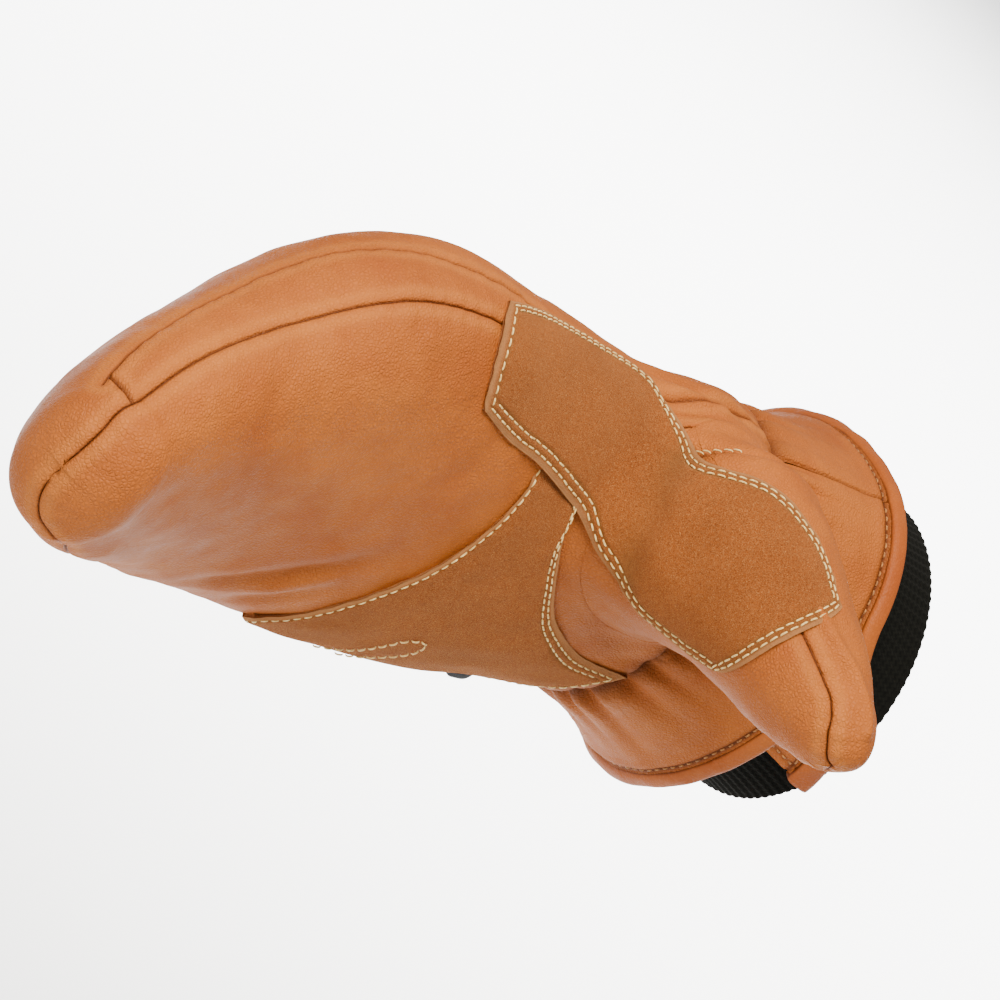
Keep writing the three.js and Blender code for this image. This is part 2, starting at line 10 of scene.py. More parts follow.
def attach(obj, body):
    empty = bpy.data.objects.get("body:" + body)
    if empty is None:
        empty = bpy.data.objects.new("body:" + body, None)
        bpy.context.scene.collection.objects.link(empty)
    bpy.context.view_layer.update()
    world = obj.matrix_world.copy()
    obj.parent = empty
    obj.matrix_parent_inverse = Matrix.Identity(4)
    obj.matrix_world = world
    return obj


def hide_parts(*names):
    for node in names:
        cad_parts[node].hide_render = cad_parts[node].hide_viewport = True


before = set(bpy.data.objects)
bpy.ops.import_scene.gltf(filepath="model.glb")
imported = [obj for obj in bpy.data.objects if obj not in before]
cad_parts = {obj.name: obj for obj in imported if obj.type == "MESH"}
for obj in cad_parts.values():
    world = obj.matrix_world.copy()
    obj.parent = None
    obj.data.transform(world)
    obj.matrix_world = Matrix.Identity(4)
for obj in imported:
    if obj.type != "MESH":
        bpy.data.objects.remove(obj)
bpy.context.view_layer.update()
rng = np.random.default_rng(7)

# Sizes shared with the solids
walls = {"leather": 2.0, "suede": 1.5, "knit": 2.6, "gap": 0.3}
gather = {"x": -68.0, "y": 3.5}
wristAxis = {"y": 3, "z": 6}
hand = {"length": 239.0, "tipRise": -18.0, "roundness": 2.35}
handSections = {
    "along": [0, 23, 51, 84, 117, 150, 180, 209, 226],
    "bend": [-4, -2.5, -0.5, 3, 9, 17, 26.5, 38, 46.5],
    "rise": [5, 3.5, -1, -2.5, -2.5, -5, -10.5, -16, -15.5],
    "palm": [32.5, 32.5, 32.5, 31.5, 30, 27.5, 24, 19, 14.7],
    "back": [32, 32.5, 33, 34, 34.5, 31, 24.5, 20, 16.9],
    "little": [45.5, 48.5, 52, 54.5, 55.5, 51, 40, 27.5, 19.7],
    "index": [47.5, 50.5, 51, 53, 55, 51, 38, 29.5, 20],
}
thumb = {"x": -94, "y": -32, "z": 36.5, "lean": 0.035, "drop": -0.015, "length": 77}
thumbFlareMiddle = -75
crotchBlend = 16
thumbSections = {
    "along": [-28, -14, -4, 8, 22, 40, 54, 66, 77],
    "radius": [10, 19, 24.5, 24.8, 22.5, 19, 16, 12, 9],
    "flare": [14, 14, 10, 6, 1.5, 0, 0, 0, 0],
}
thumbLast = 66
thumbRoot = -27
palmSeam = {
    "along": [-20, 68, 117, 150, 180, 209, 227, 234.5, 236.5, 238.2, 262],
    "height": [-10, -10, -8.6, -7.5, -5.2, -4.6, -1.8, 0.6, 3.2, 5.2, 5.2],
    "slope": [-0.16, -0.14, -0.07, 0, 0.09, 0.2, 0.27, 0.3, 0.15, 0.03, 0],
}
backSeam = {"along": [66, 104, 122, 141, 161, 190, 226], "height": [-3, -2, 1.5, 7, 13, 13.6, 12]}


# The curve through a column of a table, with slopes that suit uneven rows
def tableCurve(table, column, place="along"):
    y = np.array(table[column], float)
    x = np.array(table[place], float) if place in table else np.arange(len(y), dtype=float)
    step = np.diff(x)
    slope = np.diff(y) / step
    middle = (step[1:] * slope[:-1] + step[:-1] * slope[1:]) / (step[1:] + step[:-1])
    tangent = np.concatenate([slope[:1], middle, slope[-1:]])

    def curve(where):
        at = np.clip(where, x[0], x[-1])
        i = np.clip(np.searchsorted(x, at) - 1, 0, len(step) - 1)
        h = step[i]
        t = (at - x[i]) / h
        start = (2 * t**3 - 3 * t**2 + 1) * y[i] + (t**3 - 2 * t**2 + t) * h * tangent[i]
        return start + (3 * t**2 - 2 * t**3) * y[i + 1] + (t**3 - t**2) * h * tangent[i + 1]

    return curve


# 3 t^2 - 2 t^3 of the share t of the way from low to high
def smoothStep(value, low, high):
    t = np.clip((value - low) / (high - low), 0, 1)
    return t * t * (3 - 2 * t)


# A power of the size that keeps the sign
def signedPower(value, power):
    return np.sign(value) * np.abs(value) ** power


# The hand's centre line bends in the XY plane: it is walked in steps of 1 mm from the gather
bendAt = tableCurve(handSections, "bend")
lineAlong = np.arange(-30, 290)
lineBend = np.radians(bendAt(lineAlong[:-1] + 0.5))
lineX = np.concatenate([[0], -np.cumsum(np.cos(lineBend))])
lineY = np.concatenate([[0], -np.cumsum(np.sin(lineBend))])
lineX += gather["x"] - lineX[30]
lineY += gather["y"] - lineY[30]
handCurves = {key: tableCurve(handSections, key) for key in ("rise", "palm", "back", "little", "index")}
handLast = handSections["along"][-1]


# X, Y and bend in radians of the centre line at a place along it
def centreAt(along):
    return np.interp(along, lineAlong, lineX), np.interp(along, lineAlong, lineY), np.radians(bendAt(along))


# Centre height and half sizes of the hand's section, closing to the fingertip like a quarter circle
def handSizes(along, lift=0.0):
    t = np.clip((along - handLast) / (hand["length"] + lift - handLast), 0, 1)
    close = np.sqrt(1 - t * t)
    sizes = {key: (handCurves[key](along) + lift) * close for key in ("palm", "back", "little", "index")}
    sizes["rise"] = handCurves["rise"](along) * (1 - t) + hand["tipRise"] * t
    return sizes


# A superellipse round the bent centre line: 0 degrees is the back, 90 the index side, 180 the palm
def handPoint(along, degrees, lift=0.0):
    along, degrees = np.broadcast_arrays(np.asarray(along, float), np.asarray(degrees, float))
    size = handSizes(along, lift)
    over = signedPower(np.cos(np.radians(degrees)), 2 / hand["roundness"])
    side = signedPower(np.sin(np.radians(degrees)), 2 / hand["roundness"])
    over = over * np.where(over > 0, size["back"], size["palm"])
    side = side * np.where(side > 0, size["index"], size["little"])
    x, y, bend = centreAt(along)
    return np.stack([x - np.sin(bend) * over, y + np.cos(bend) * over, size["rise"] + side], -1)


thumbRadius = tableCurve(thumbSections, "radius")
thumbFlare = tableCurve(thumbSections, "flare")


# Radius plus flare towards its middle angle, closing to the tip by sqrt(1 - t^2)
def thumbReach(along, degrees):
    t = np.clip((along - thumbLast) / (thumb["length"] - thumbLast), 0, 1)
    share = smoothStep(np.cos(np.radians(degrees - thumbFlareMiddle)), 0.2, 0.9)
    return (thumbRadius(along) + thumbFlare(along) * share) * np.sqrt(1 - t * t)


# A round section along the thumb's straight axis: 0 degrees faces the fingers, 90 the index side
def thumbPoint(along, degrees):
    reach = thumbReach(along, degrees)
    x = thumb["x"] + thumb["lean"] * along - np.cos(np.radians(degrees)) * reach
    z = thumb["z"] + thumb["drop"] * along + np.sin(np.radians(degrees)) * reach
    return np.stack([x, thumb["y"] - along + 0 * x, z], -1)


# Distances from points to hand and thumb, measured across their sections, negative inside
def handAndThumb(points):
    x, y, z = np.moveaxis(points, -1, 0)
    along = gather["x"] - x
    for turn in range(6):
        cx, cy, bend = centreAt(along)
        along = along - (x - cx) * np.cos(bend) - (y - cy) * np.sin(bend)
    cx, cy, bend = centreAt(along)
    size = handSizes(along)
    over = (y - cy) * np.cos(bend) - (x - cx) * np.sin(bend)
    side = z - size["rise"]
    overShare = np.abs(over) / np.maximum(np.where(over > 0, size["back"], size["palm"]), 0.01)
    sideShare = np.abs(side) / np.maximum(np.where(side > 0, size["index"], size["little"]), 0.01)
    share = (overShare ** hand["roundness"] + sideShare ** hand["roundness"]) ** (1 / hand["roundness"])
    toHand = np.hypot(over, side) * (1 - 1 / np.maximum(share, 0.05))
    out = thumb["y"] - y
    dx = thumb["x"] + thumb["lean"] * out - x
    dz = z - thumb["z"] - thumb["drop"] * out
    toThumb = np.hypot(dx, dz) - thumbReach(out, np.degrees(np.arctan2(dz, dx)))
    return toHand, np.maximum(toThumb, thumbSections["along"][0] - out)


# Smooth union of both forms: the crotch is rounded where their distances are alike
def joined(points):
    toHand, toThumb = handAndThumb(points)
    near = np.maximum(crotchBlend - np.abs(toHand - toThumb), 0)
    return np.minimum(toHand, toThumb) - near * near / (4 * crotchBlend)


# The joined distance and its slope by forward steps of half a millimetre
def slopeOf(points):
    here = joined(points)
    probe = 0.5
    slope = np.stack([(joined(points + probe * np.eye(3)[axis]) - here) / probe for axis in range(3)], -1)
    return here, slope


# Points walk down the slope of the distance until they lie at lift off the joined surface
def settle(points, lift, turns=12):
    points = points.copy()
    for turn in range(turns):
        here, slope = slopeOf(points)
        size = np.linalg.norm(slope, axis=-1)
        amount = np.clip((here - lift) / np.maximum(size, 0.3), -3, 3)
        points -= slope * (amount / np.maximum(size, 1e-6))[..., None]
    return points


# Smooth waves in fixed random directions, about -1 to 1, for uneven leather; size is their length in mm
def softWaves(points, size, seed):
    waves = np.random.default_rng(seed)
    total = 0
    for turn in range(7):
        way = waves.normal(size=3)
        way /= np.linalg.norm(way) * size * waves.uniform(0.7, 1.4) / (2 * np.pi)
        total = total + np.sin(points @ way + waves.uniform(0, 2 * np.pi))
    return total / 3.2


# Length walked along a line up to each of its points
def arcLength(line):
    steps = np.linalg.norm(np.diff(line, axis=0), axis=1)
    return np.concatenate([[0], np.cumsum(steps)])


# Distance from each point of a grid to a line of points, and the place along the line: the line's nearest
# point is found, and moved along the line's own direction by half a step at most
def nearLine(grid, line):
    flat = grid.reshape(-1, 3)
    place = arcLength(line)
    way = np.gradient(line, axis=0)
    way /= np.maximum(np.linalg.norm(way, axis=1, keepdims=True), 1e-9)
    halfStep = place[-1] / (len(line) - 1) / 2
    distance = np.empty(len(flat))
    where = np.empty(len(flat))
    for part in np.array_split(np.arange(len(flat)), max(len(flat) // 2000, 1)):
        best = ((flat[part, None] - line[None]) ** 2).sum(-1).argmin(1)
        offset = flat[part] - line[best]
        shift = np.clip((offset * way[best]).sum(-1), -halfStep, halfStep)
        distance[part] = np.linalg.norm(offset - shift[:, None] * way[best], axis=-1)
        where[part] = place[best] + shift
    return distance.reshape(grid.shape[:-1]), where.reshape(grid.shape[:-1])


# The same for several lines: only the nearest one counts
def nearLines(grid, lines):
    distance, place = nearLine(grid, lines[0])
    for line in lines[1:]:
        other, otherPlace = nearLine(grid, line)
        place = np.where(other < distance, otherPlace, place)
        distance = np.minimum(distance, other)
    return distance, place


# Rows of a grid whose first and last point are the same place
def shutRows(grid):
    return np.linalg.norm(grid[:, 0] - grid[:, -1], axis=-1) < 0.02


# Normals of a grid: across its columns times down its rows, also where a row shuts or shrinks to a point
def gridNormals(grid, closed=False):
    if closed:
        wide = np.concatenate([grid[:, -1:], grid, grid[:, :1]], 1)
        across = (wide[:, 2:] - wide[:, :-2]) / 2
    else:
        across = np.gradient(grid, axis=1)
    down = np.gradient(grid, axis=0)
    normals = np.cross(across, down)
    shut = shutRows(grid)
    normals[shut, 0] = normals[shut, -1] = normals[shut, 0] + normals[shut, -1]
    normals /= np.maximum(np.linalg.norm(normals, axis=-1, keepdims=True), 1e-12)
    points = np.flatnonzero(np.ptp(grid, axis=1).max(-1) < 0.02)
    rings = np.flatnonzero(np.ptp(grid, axis=1).max(-1) >= 0.02)
    for row in points:
        mean = normals[rings[np.abs(rings - row).argmin()]].mean(0)
        normals[row] = mean / np.linalg.norm(mean)
    return normals


# 1 where the grid's own normals point out of the form, and -1 where they point in:
# tested by the joined distance, or on the wrist by the way out from its axis
def outwardSign(grid, normals, form):
    if form == "hand":
        return 1 if np.sum(joined(grid + normals) - joined(grid)) > 0 else -1
    fromAxis = grid - np.array([0, wristAxis["y"], wristAxis["z"]])
    fromAxis[..., 0] = 0
    return 1 if np.sum(normals * fromAxis) > 0 else -1


# Four-sided faces between the rows and columns of an index grid
def cells(index, flip=False):
    faces = np.stack([index[:-1, :-1], index[:-1, 1:], index[1:, 1:], index[1:, :-1]], -1).reshape(-1, 4)
    return faces[:, ::-1] if flip else faces


# A mesh object from points in mm and four-sided faces; places that fall together are merged
def makeMesh(name, points, faces, material, slot, node=None, uv=None, shades=None, merge=False):
    mesh = bpy.data.meshes.new(name)
    mesh.vertices.add(len(points))
    mesh.vertices.foreach_set("co", (points * 0.001).astype(np.float32).ravel())
    mesh.loops.add(faces.size)
    mesh.loops.foreach_set("vertex_index", faces.astype(np.int32).ravel())
    mesh.polygons.add(len(faces))
    mesh.polygons.foreach_set("loop_start", np.arange(0, faces.size, 4, dtype=np.int32))
    mesh.polygons.foreach_set("use_smooth", np.ones(len(faces), dtype=bool))
    if uv is not None:
        layer = mesh.uv_layers.new(name="surface")
        layer.data.foreach_set("uv", uv[faces.ravel()].astype(np.float32).ravel())
    for key, values in (shades or {}).items():
        attribute = mesh.attributes.new(key, "FLOAT", "POINT")
        attribute.data.foreach_set("value", values.astype(np.float32).ravel())
    mesh.update()
    if merge:
        work = bmesh.new()
        work.from_mesh(mesh)
        bmesh.ops.remove_doubles(work, verts=work.verts, dist=0.000004)
        work.to_mesh(mesh)
        work.free()
    mesh.validate()
    mesh.materials.append(material)
    piece = bpy.data.objects.new(name, mesh)
    bpy.context.collection.objects.link(piece)
    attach(piece, "root")
    if node:
        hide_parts(node)
    print("made", name, len(faces), "faces")
    return piece


# A wall: the outer grid, an inner one at its thickness, and rims; keep says which cells are there
def makeWall(name, outer, thickness, form, outward=None, closed=False, keep=None, shades=None, **more):
    rows, columns = outer.shape[:2]
    normals = gridNormals(outer, closed)
    sign = outwardSign(outer, normals, form)
    inner = outer - (sign * normals if outward is None else outward) * thickness
    flip = sign < 0
    index = np.arange(rows * columns).reshape(rows, columns)
    if closed:
        index = np.concatenate([index, index[:, :1]], 1)
    under = index + rows * columns
    stay = np.ones((rows - 1, index.shape[1] - 1), bool) if keep is None else keep
    faces = [cells(index, flip)[stay.ravel()], cells(under, not flip)[stay.ravel()]]
    rims = [(index[0], under[0], True, stay[0]), (index[-1], under[-1], False, stay[-1])]
    if not closed:
        ajar = ~(shutRows(outer)[1:] & shutRows(outer)[:-1])
        rims.append((index[:, 0], under[:, 0], False, stay[:, 0] & ajar))
        rims.append((index[:, -1], under[:, -1], True, stay[:, -1] & ajar))
    for edge, low, turn, there in rims:
        faces.append(cells(np.stack([edge, low]), turn == flip)[there])
    u = np.broadcast_to(np.linspace(0, 1, columns), (rows, columns))
    v = np.broadcast_to(np.linspace(0, 1, rows)[:, None], (rows, columns))
    uv = np.concatenate([np.stack([u, v], -1).reshape(-1, 2)] * 2)
    both = {}
    for key, values in (shades or {}).items():
        both[key] = np.concatenate([values.ravel(), values.ravel() * 0])
    points = np.concatenate([outer.reshape(-1, 3), inner.reshape(-1, 3)])
    return makeMesh(name, points, np.concatenate(faces), uv=uv, shades=both, **more)


# Colours are sRGB hex values, turned to linear
def linear(colour):
    parts = [int(colour[i:i + 2], 16) / 255 for i in (1, 3, 5)]
    return tuple(v / 12.92 if v <= 0.04045 else ((v + 0.055) / 1.055) ** 2.4 for v in parts) + (1.0,)


# Adds a node: settings are its own properties, values its sockets' values, links its sockets' sources
def addNode(material, kind, settings=None, values=None, links=None):
    node = material.node_tree.nodes.new("ShaderNode" + kind)
    for key, value in (settings or {}).items():
        setattr(node, key, value)
    for key, value in (values or {}).items():
        node.inputs[key].default_value = value
    for key, source in (links or {}).items():
        material.node_tree.links.new(source, node.inputs[key])
    return node


# A material whose node tree is still empty
def newMaterial(name):
    material = bpy.data.materials.new(name)
    material.use_nodes = True
    material.node_tree.nodes.clear()
    return material


# first * (1 - factor) + second * factor; each is a value or another node's output
def mixColours(material, factor, first, second):
    node = addNode(material, "Mix", {"data_type": "RGBA"})
    for key, value in ((0, factor), (6, first), (7, second)):
        if isinstance(value, (float, tuple)):
            node.inputs[key].default_value = value
        else:
            material.node_tree.links.new(value, node.inputs[key])
    return node.outputs[2]


# Full-grain leather, tumbled and aniline dyed: soft satin shine over a fine pebbled grain, cloudy colour,
# darker where it turns into a seam and lighter where it is stretched, with painted shade in the hollow under
# the thumb and at the bottom of the thumb's crease. Grain and pores are real sizes in mm.
def fullGrainLeather(name, look):
    material = newMaterial(name)
    place = addNode(material, "TexCoord").outputs["Object"]
    cloud = addNode(
        material, "TexNoise", values={"Scale": 1000 / look["cloud"], "Detail": 4.0, "Roughness": 0.6},
        links={"Vector": place},
    )
    blotch = addNode(
        material, "TexNoise", values={"Scale": 1000 / look["blotch"], "Detail": 3.0, "Roughness": 0.65},
        links={"Vector": place},
    )
    wobble = addNode(
        material, "VectorMath", {"operation": "MULTIPLY_ADD"}, {1: (0.0009,) * 3},
        {0: blotch.outputs["Color"], 2: place},
    )
    pebble = addNode(
        material, "TexVoronoi", {"feature": "DISTANCE_TO_EDGE"}, {"Scale": 1000 / look["pebble"]},
        {"Vector": wobble.outputs[0]},
    )
    valley = addNode(
        material, "MapRange", values={"From Max": 0.3}, links={"Value": pebble.outputs["Distance"]},
    )
    pore = addNode(
        material, "TexNoise", values={"Scale": 1000 / look["pore"], "Detail": 2.0, "Roughness": 0.6},
        links={"Vector": place},
    )
    crease = addNode(
        material, "TexNoise",
        values={"Scale": 1000 / look["crease"], "Detail": 5.0, "Roughness": 0.62, "Distortion": 1.4},
        links={"Vector": place},
    )
    wrinkle = addNode(
        material, "MapRange", values={"From Min": 0.40, "From Max": 0.56},
        links={"Value": crease.outputs["Fac"]},
    )
    seam = addNode(material, "Attribute", {"attribute_name": "seamDarkAndPaintedShade"})
    stretch = addNode(material, "Attribute", {"attribute_name": "edgeShade"})
    cloudShare = addNode(
        material, "MapRange", values={"From Min": 0.36, "From Max": 0.66},
        links={"Value": cloud.outputs["Fac"]},
    )
    base = mixColours(material, cloudShare.outputs[0], linear(look["dark"]), linear(look["light"]))
    blotchShare = addNode(
        material, "MapRange", values={"From Min": 0.52, "From Max": 0.78, "To Max": 0.35},
        links={"Value": blotch.outputs["Fac"]},
    )
    base = mixColours(material, blotchShare.outputs[0], base, linear(look["red"]))
    pits = addNode(
        material, "MapRange", values={"To Min": look["pitShade"], "To Max": 0.0},
        links={"Value": valley.outputs[0]},
    )
    base = mixColours(material, pits.outputs[0], base, linear(look["seam"]))
    base = mixColours(material, stretch.outputs["Fac"], base, linear(look["stretched"]))
    # Darker at seams, with painted shade in the hollow under the thumb and at the bottom of the thumb's
    # crease
    base = mixColours(material, seam.outputs["Fac"], base, linear(look["seam"]))
    rough = addNode(
        material, "MapRange",
        values={
            "From Min": 0.3, "From Max": 0.7, "To Min": look["rough"] - 0.05,
            "To Max": look["rough"] + 0.09,
        },
        links={"Value": blotch.outputs["Fac"]},
    )
    soft = addNode(
        material, "Bump", values={"Strength": 0.5, "Distance": look["creaseDepth"] * 0.001},
        links={"Height": wrinkle.outputs[0]},
    )
    grain = addNode(
        material, "Bump", values={"Strength": 0.55, "Distance": look["pebbleDepth"] * 0.001},
        links={"Height": valley.outputs[0], "Normal": soft.outputs[0]},
    )
    fine = addNode(
        material, "Bump", values={"Strength": 0.4, "Distance": 0.00008},
        links={"Height": pore.outputs["Fac"], "Normal": grain.outputs[0]},
    )
    shader = addNode(
        material, "BsdfPrincipled", values={"IOR": 1.48, "Specular IOR Level": look["specular"]},
        links={"Base Color": base, "Roughness": rough.outputs[0], "Normal": fine.outputs[0]},
    )
    addNode(material, "OutputMaterial", links={"Surface": shader.outputs[0]})
    return material


# Split suede, brushed on its flesh side: matt, with short nap that catches light at grazing angles and
# lies this way and that in patches; its cut edges are raw and paler, its stitch channels darker, and painted
# shade lies along the crotch fold.
def brushedSuede(name, look):
    material = newMaterial(name)
    place = addNode(material, "TexCoord").outputs["Object"]
    cloud = addNode(
        material, "TexNoise", values={"Scale": 1000 / look["cloud"], "Detail": 3.0, "Roughness": 0.6},
        links={"Vector": place},
    )
    stretched = addNode(
        material, "Mapping", values={"Rotation": (0.5, 0.35, 0.6), "Scale": (1.0, 1.3, 1.0)},
        links={"Vector": place},
    )
    nap = addNode(
        material, "TexNoise",
        values={"Scale": 1000 / look["nap"], "Detail": 2.0, "Roughness": 0.6, "Distortion": 2.4},
        links={"Vector": stretched.outputs[0]},
    )
    fibre = addNode(
        material, "TexNoise", values={"Scale": 1000 / look["fibre"], "Detail": 2.0, "Roughness": 0.8},
        links={"Vector": place},
    )
    cloudShare = addNode(
        material, "MapRange", values={"From Min": 0.35, "From Max": 0.68},
        links={"Value": cloud.outputs["Fac"]},
    )
    base = mixColours(material, cloudShare.outputs[0], linear(look["dark"]), linear(look["mid"]))
    napShare = addNode(
        material, "MapRange", values={"From Min": 0.5, "From Max": 0.68, "To Max": 0.75},
        links={"Value": nap.outputs["Fac"]},
    )
    base = mixColours(material, napShare.outputs[0], base, linear(look["light"]))
    deepShare = addNode(
        material, "MapRange", values={"From Min": 0.52, "From Max": 0.38, "To Max": 0.8},
        links={"Value": fibre.outputs["Fac"]},
    )
    base = mixColours(material, deepShare.outputs[0], base, linear(look["deep"]))
    seam = addNode(material, "Attribute", {"attribute_name": "seamDarkAndPaintedShade"})
    raw = addNode(material, "Attribute", {"attribute_name": "edgeShade"})
    base = mixColours(material, raw.outputs["Fac"], base, linear(look["raw"]))
    # Darker in the stitch channels, with painted shade along the crotch fold
    base = mixColours(material, seam.outputs["Fac"], base, linear(look["channel"]))
    tufts = addNode(
        material, "Bump", values={"Strength": 0.8, "Distance": look["napDepth"] * 0.001},
        links={"Height": nap.outputs["Fac"]},
    )
    hairs = addNode(
        material, "Bump", values={"Strength": 0.8, "Distance": 0.00018},
        links={"Height": fibre.outputs["Fac"], "Normal": tufts.outputs[0]},
    )
    shader = addNode(
        material, "BsdfPrincipled",
        values={
            "Roughness": 0.95, "Specular IOR Level": 0.15, "Sheen Weight": 0.35, "Sheen Roughness": 0.45,
            "Sheen Tint": linear(look["sheen"]),
        },
        links={"Base Color": base, "Normal": hairs.outputs[0]},
    )
    addNode(material, "OutputMaterial", links={"Surface": shader.outputs[0]})
    return material


# Waxed polyester sewing thread, twisted from three strands: slightly shiny, its tone uneven along each stitch
def sewingThread(name, look):
    material = newMaterial(name)
    place = addNode(material, "TexCoord").outputs["Object"]
    strand = addNode(
        material, "TexNoise", values={"Scale": 1000 / 0.7, "Detail": 2.0}, links={"Vector": place},
    )
    share = addNode(
        material, "MapRange", values={"From Min": 0.35, "From Max": 0.65},
        links={"Value": strand.outputs["Fac"]},
    )
    base = mixColours(material, share.outputs[0], linear(look["dark"]), linear(look["light"]))
    bump = addNode(
        material, "Bump", values={"Strength": 0.5, "Distance": 0.0001},
        links={"Height": strand.outputs["Fac"]},
    )
    shader = addNode(
        material, "BsdfPrincipled",
        values={"Roughness": 0.55, "Specular IOR Level": 0.35, "Sheen Weight": 0.2},
        links={"Base Color": base, "Normal": bump.outputs[0]},
    )
    addNode(material, "OutputMaterial", links={"Surface": shader.outputs[0]})
    return material


# Rib-knitted acrylic and elastane: matt dark yarn, its loops as small V shapes down each rib by the UV map
def ribKnit(name, look):
    material = newMaterial(name)
    surface = addNode(material, "UVMap", {"uv_map": "surface"}).outputs["UV"]
    parts = addNode(material, "SeparateXYZ", links={"Vector": surface})
    ribPhase = addNode(
        material, "Math", {"operation": "MULTIPLY"}, {1: look["ribs"] * 2.0}, {0: parts.outputs["X"]},
    )
    slant = addNode(material, "Math", {"operation": "PINGPONG"}, {1: 0.5}, {0: ribPhase.outputs[0]})
    rowPhase = addNode(
        material, "Math", {"operation": "MULTIPLY_ADD"}, {1: look["rows"]},
        {0: parts.outputs["Y"], 2: slant.outputs[0]},
    )
    loop = addNode(material, "Math", {"operation": "PINGPONG"}, {1: 0.5}, {0: rowPhase.outputs[0]})
    place = addNode(material, "TexCoord").outputs["Object"]
    fuzz = addNode(
        material, "TexNoise", values={"Scale": 1000 / 0.6, "Detail": 3.0, "Roughness": 0.7},
        links={"Vector": place},
    )
    share = addNode(
        material, "Math", {"operation": "MULTIPLY", "use_clamp": True}, {1: 2.2}, {0: loop.outputs[0]},
    )
    lit = addNode(
        material, "Math", {"operation": "MULTIPLY", "use_clamp": True}, {},
        {0: share.outputs[0], 1: fuzz.outputs["Fac"]},
    )
    base = mixColours(material, lit.outputs[0], linear(look["dark"]), linear(look["light"]))
    stitchBump = addNode(
        material, "Bump", values={"Strength": 0.4, "Distance": 0.0003}, links={"Height": loop.outputs[0]},
    )
    fuzzBump = addNode(
        material, "Bump", values={"Strength": 0.6, "Distance": 0.0003},
        links={"Height": fuzz.outputs["Fac"], "Normal": stitchBump.outputs[0]},
    )
    shader = addNode(
        material, "BsdfPrincipled",
        values={
            "Roughness": 0.95, "Specular IOR Level": 0.08, "Sheen Weight": 0.04, "Sheen Roughness": 0.5,
        },
        links={"Base Color": base, "Normal": fuzzBump.outputs[0]},
    )
    addNode(material, "OutputMaterial", links={"Surface": shader.outputs[0]})
    return material


# Colours, pattern sizes and depths in mm, and shares of the materials
grainLook = {
    "dark": "#a15620", "light": "#b56729", "red": "#a04e22", "seam": "#3f1907", "stretched": "#c57a35",
    "cloud": 46, "blotch": 13, "pebble": 0.95, "pore": 0.45, "crease": 7.5,
    "creaseDepth": 0.25, "pebbleDepth": 0.34, "pitShade": 0.14, "rough": 0.56, "specular": 0.18,
}
bindingLook = {
    **grainLook, "dark": "#9a4d1c", "light": "#aa5e24", "red": "#98471d", "stretched": "#b86a2f",
    "pebble": 0.9, "pebbleDepth": 0.08, "creaseDepth": 0.2, "rough": 0.46,
}
suedeLook = {
    "dark": "#874618", "mid": "#98521f", "light": "#c88a50", "deep": "#552508", "raw": "#a8754a",
    "channel": "#664a26", "sheen": "#e0a870", "cloud": 19, "nap": 0.42, "fibre": 0.3, "napDepth": 0.35,
}
knitLook = {"ribs": 110, "rows": 44, "dark": "#070807", "light": "#171814"}
tanGrain = fullGrainLeather("full_grain_leather_tan", grainLook)
bindingGrain = fullGrainLeather("smooth_leather_binding", bindingLook)
napSuede = brushedSuede("brushed_split_suede", suedeLook)
creamThread = sewingThread("cream_polyester_thread", {"dark": "#cda55c", "light": "#f3d894"})
tanThread = sewingThread("tan_polyester_thread", {"dark": "#7d4c20", "light": "#b0763a"})
darkKnit = ribKnit("dark_rib_knit", knitLook)
darkTape = sewingThread("dark_nylon_tape", {"dark": "#161b21", "light": "#2a323c"})
print("materials done")

# Seams are found in each section as the angle where the seam's height is met
seamHeight = tableCurve(palmSeam, "height")
seamSlope = tableCurve(palmSeam, "slope")
backSeamHeight = tableCurve(backSeam, "height")


# Halves the range of angles until the section's height over the seam's sloping height changes sign
def seamAngle(along, side, height, slope):
    size = handSizes(along)
    low, high = np.zeros_like(along), np.full_like(along, 180.0)
    for turn in range(36):
        middle = (low + high) / 2
        over = signedPower(np.cos(np.radians(middle)), 2 / hand["roundness"])
        out = np.sin(np.radians(middle)) ** (2 / hand["roundness"])
        over = over * np.where(over > 0, size["back"], size["palm"])
        out = out * side * (size["index"] if side > 0 else size["little"])
        above = over > height + slope * out
        low, high = np.where(above, middle, low), np.where(above, high, middle)
    return low


# The palm seam on the index side, and on the little-finger side
def palmIndexAngle(along):
    return seamAngle(along, 1, seamHeight(along), seamSlope(along))


def palmLittleAngle(along):
    return 360 - seamAngle(along, -1, seamHeight(along), seamSlope(along))


# Past the gusset's end the split keeps its share of the way to the palm seam
def backSplitAngle(along):
    known = np.minimum(along, 229)
    share = seamAngle(known, 1, backSeamHeight(known), 0 * known) / palmIndexAngle(known)
    return palmIndexAngle(along) * np.minimum(share, 1)


# Even steps that draw together at both ends, so that seams get finer cells
def crowded(count, share=0.45):
    t = np.linspace(0, 1, count)
    return share * (0.5 - 0.5 * np.cos(np.pi * t)) + (1 - share) * t


# Rows along the hand: fine at the gather, then even, then by the sine to the fingertip
tipLength = hand["length"] - handLast
tipRows = handLast + tipLength * np.sin(np.linspace(0, np.pi / 2, 64)[1:])
handRows = np.concatenate([np.linspace(0, 6, 14)[:-1], np.linspace(6, handLast, 180), tipRows])

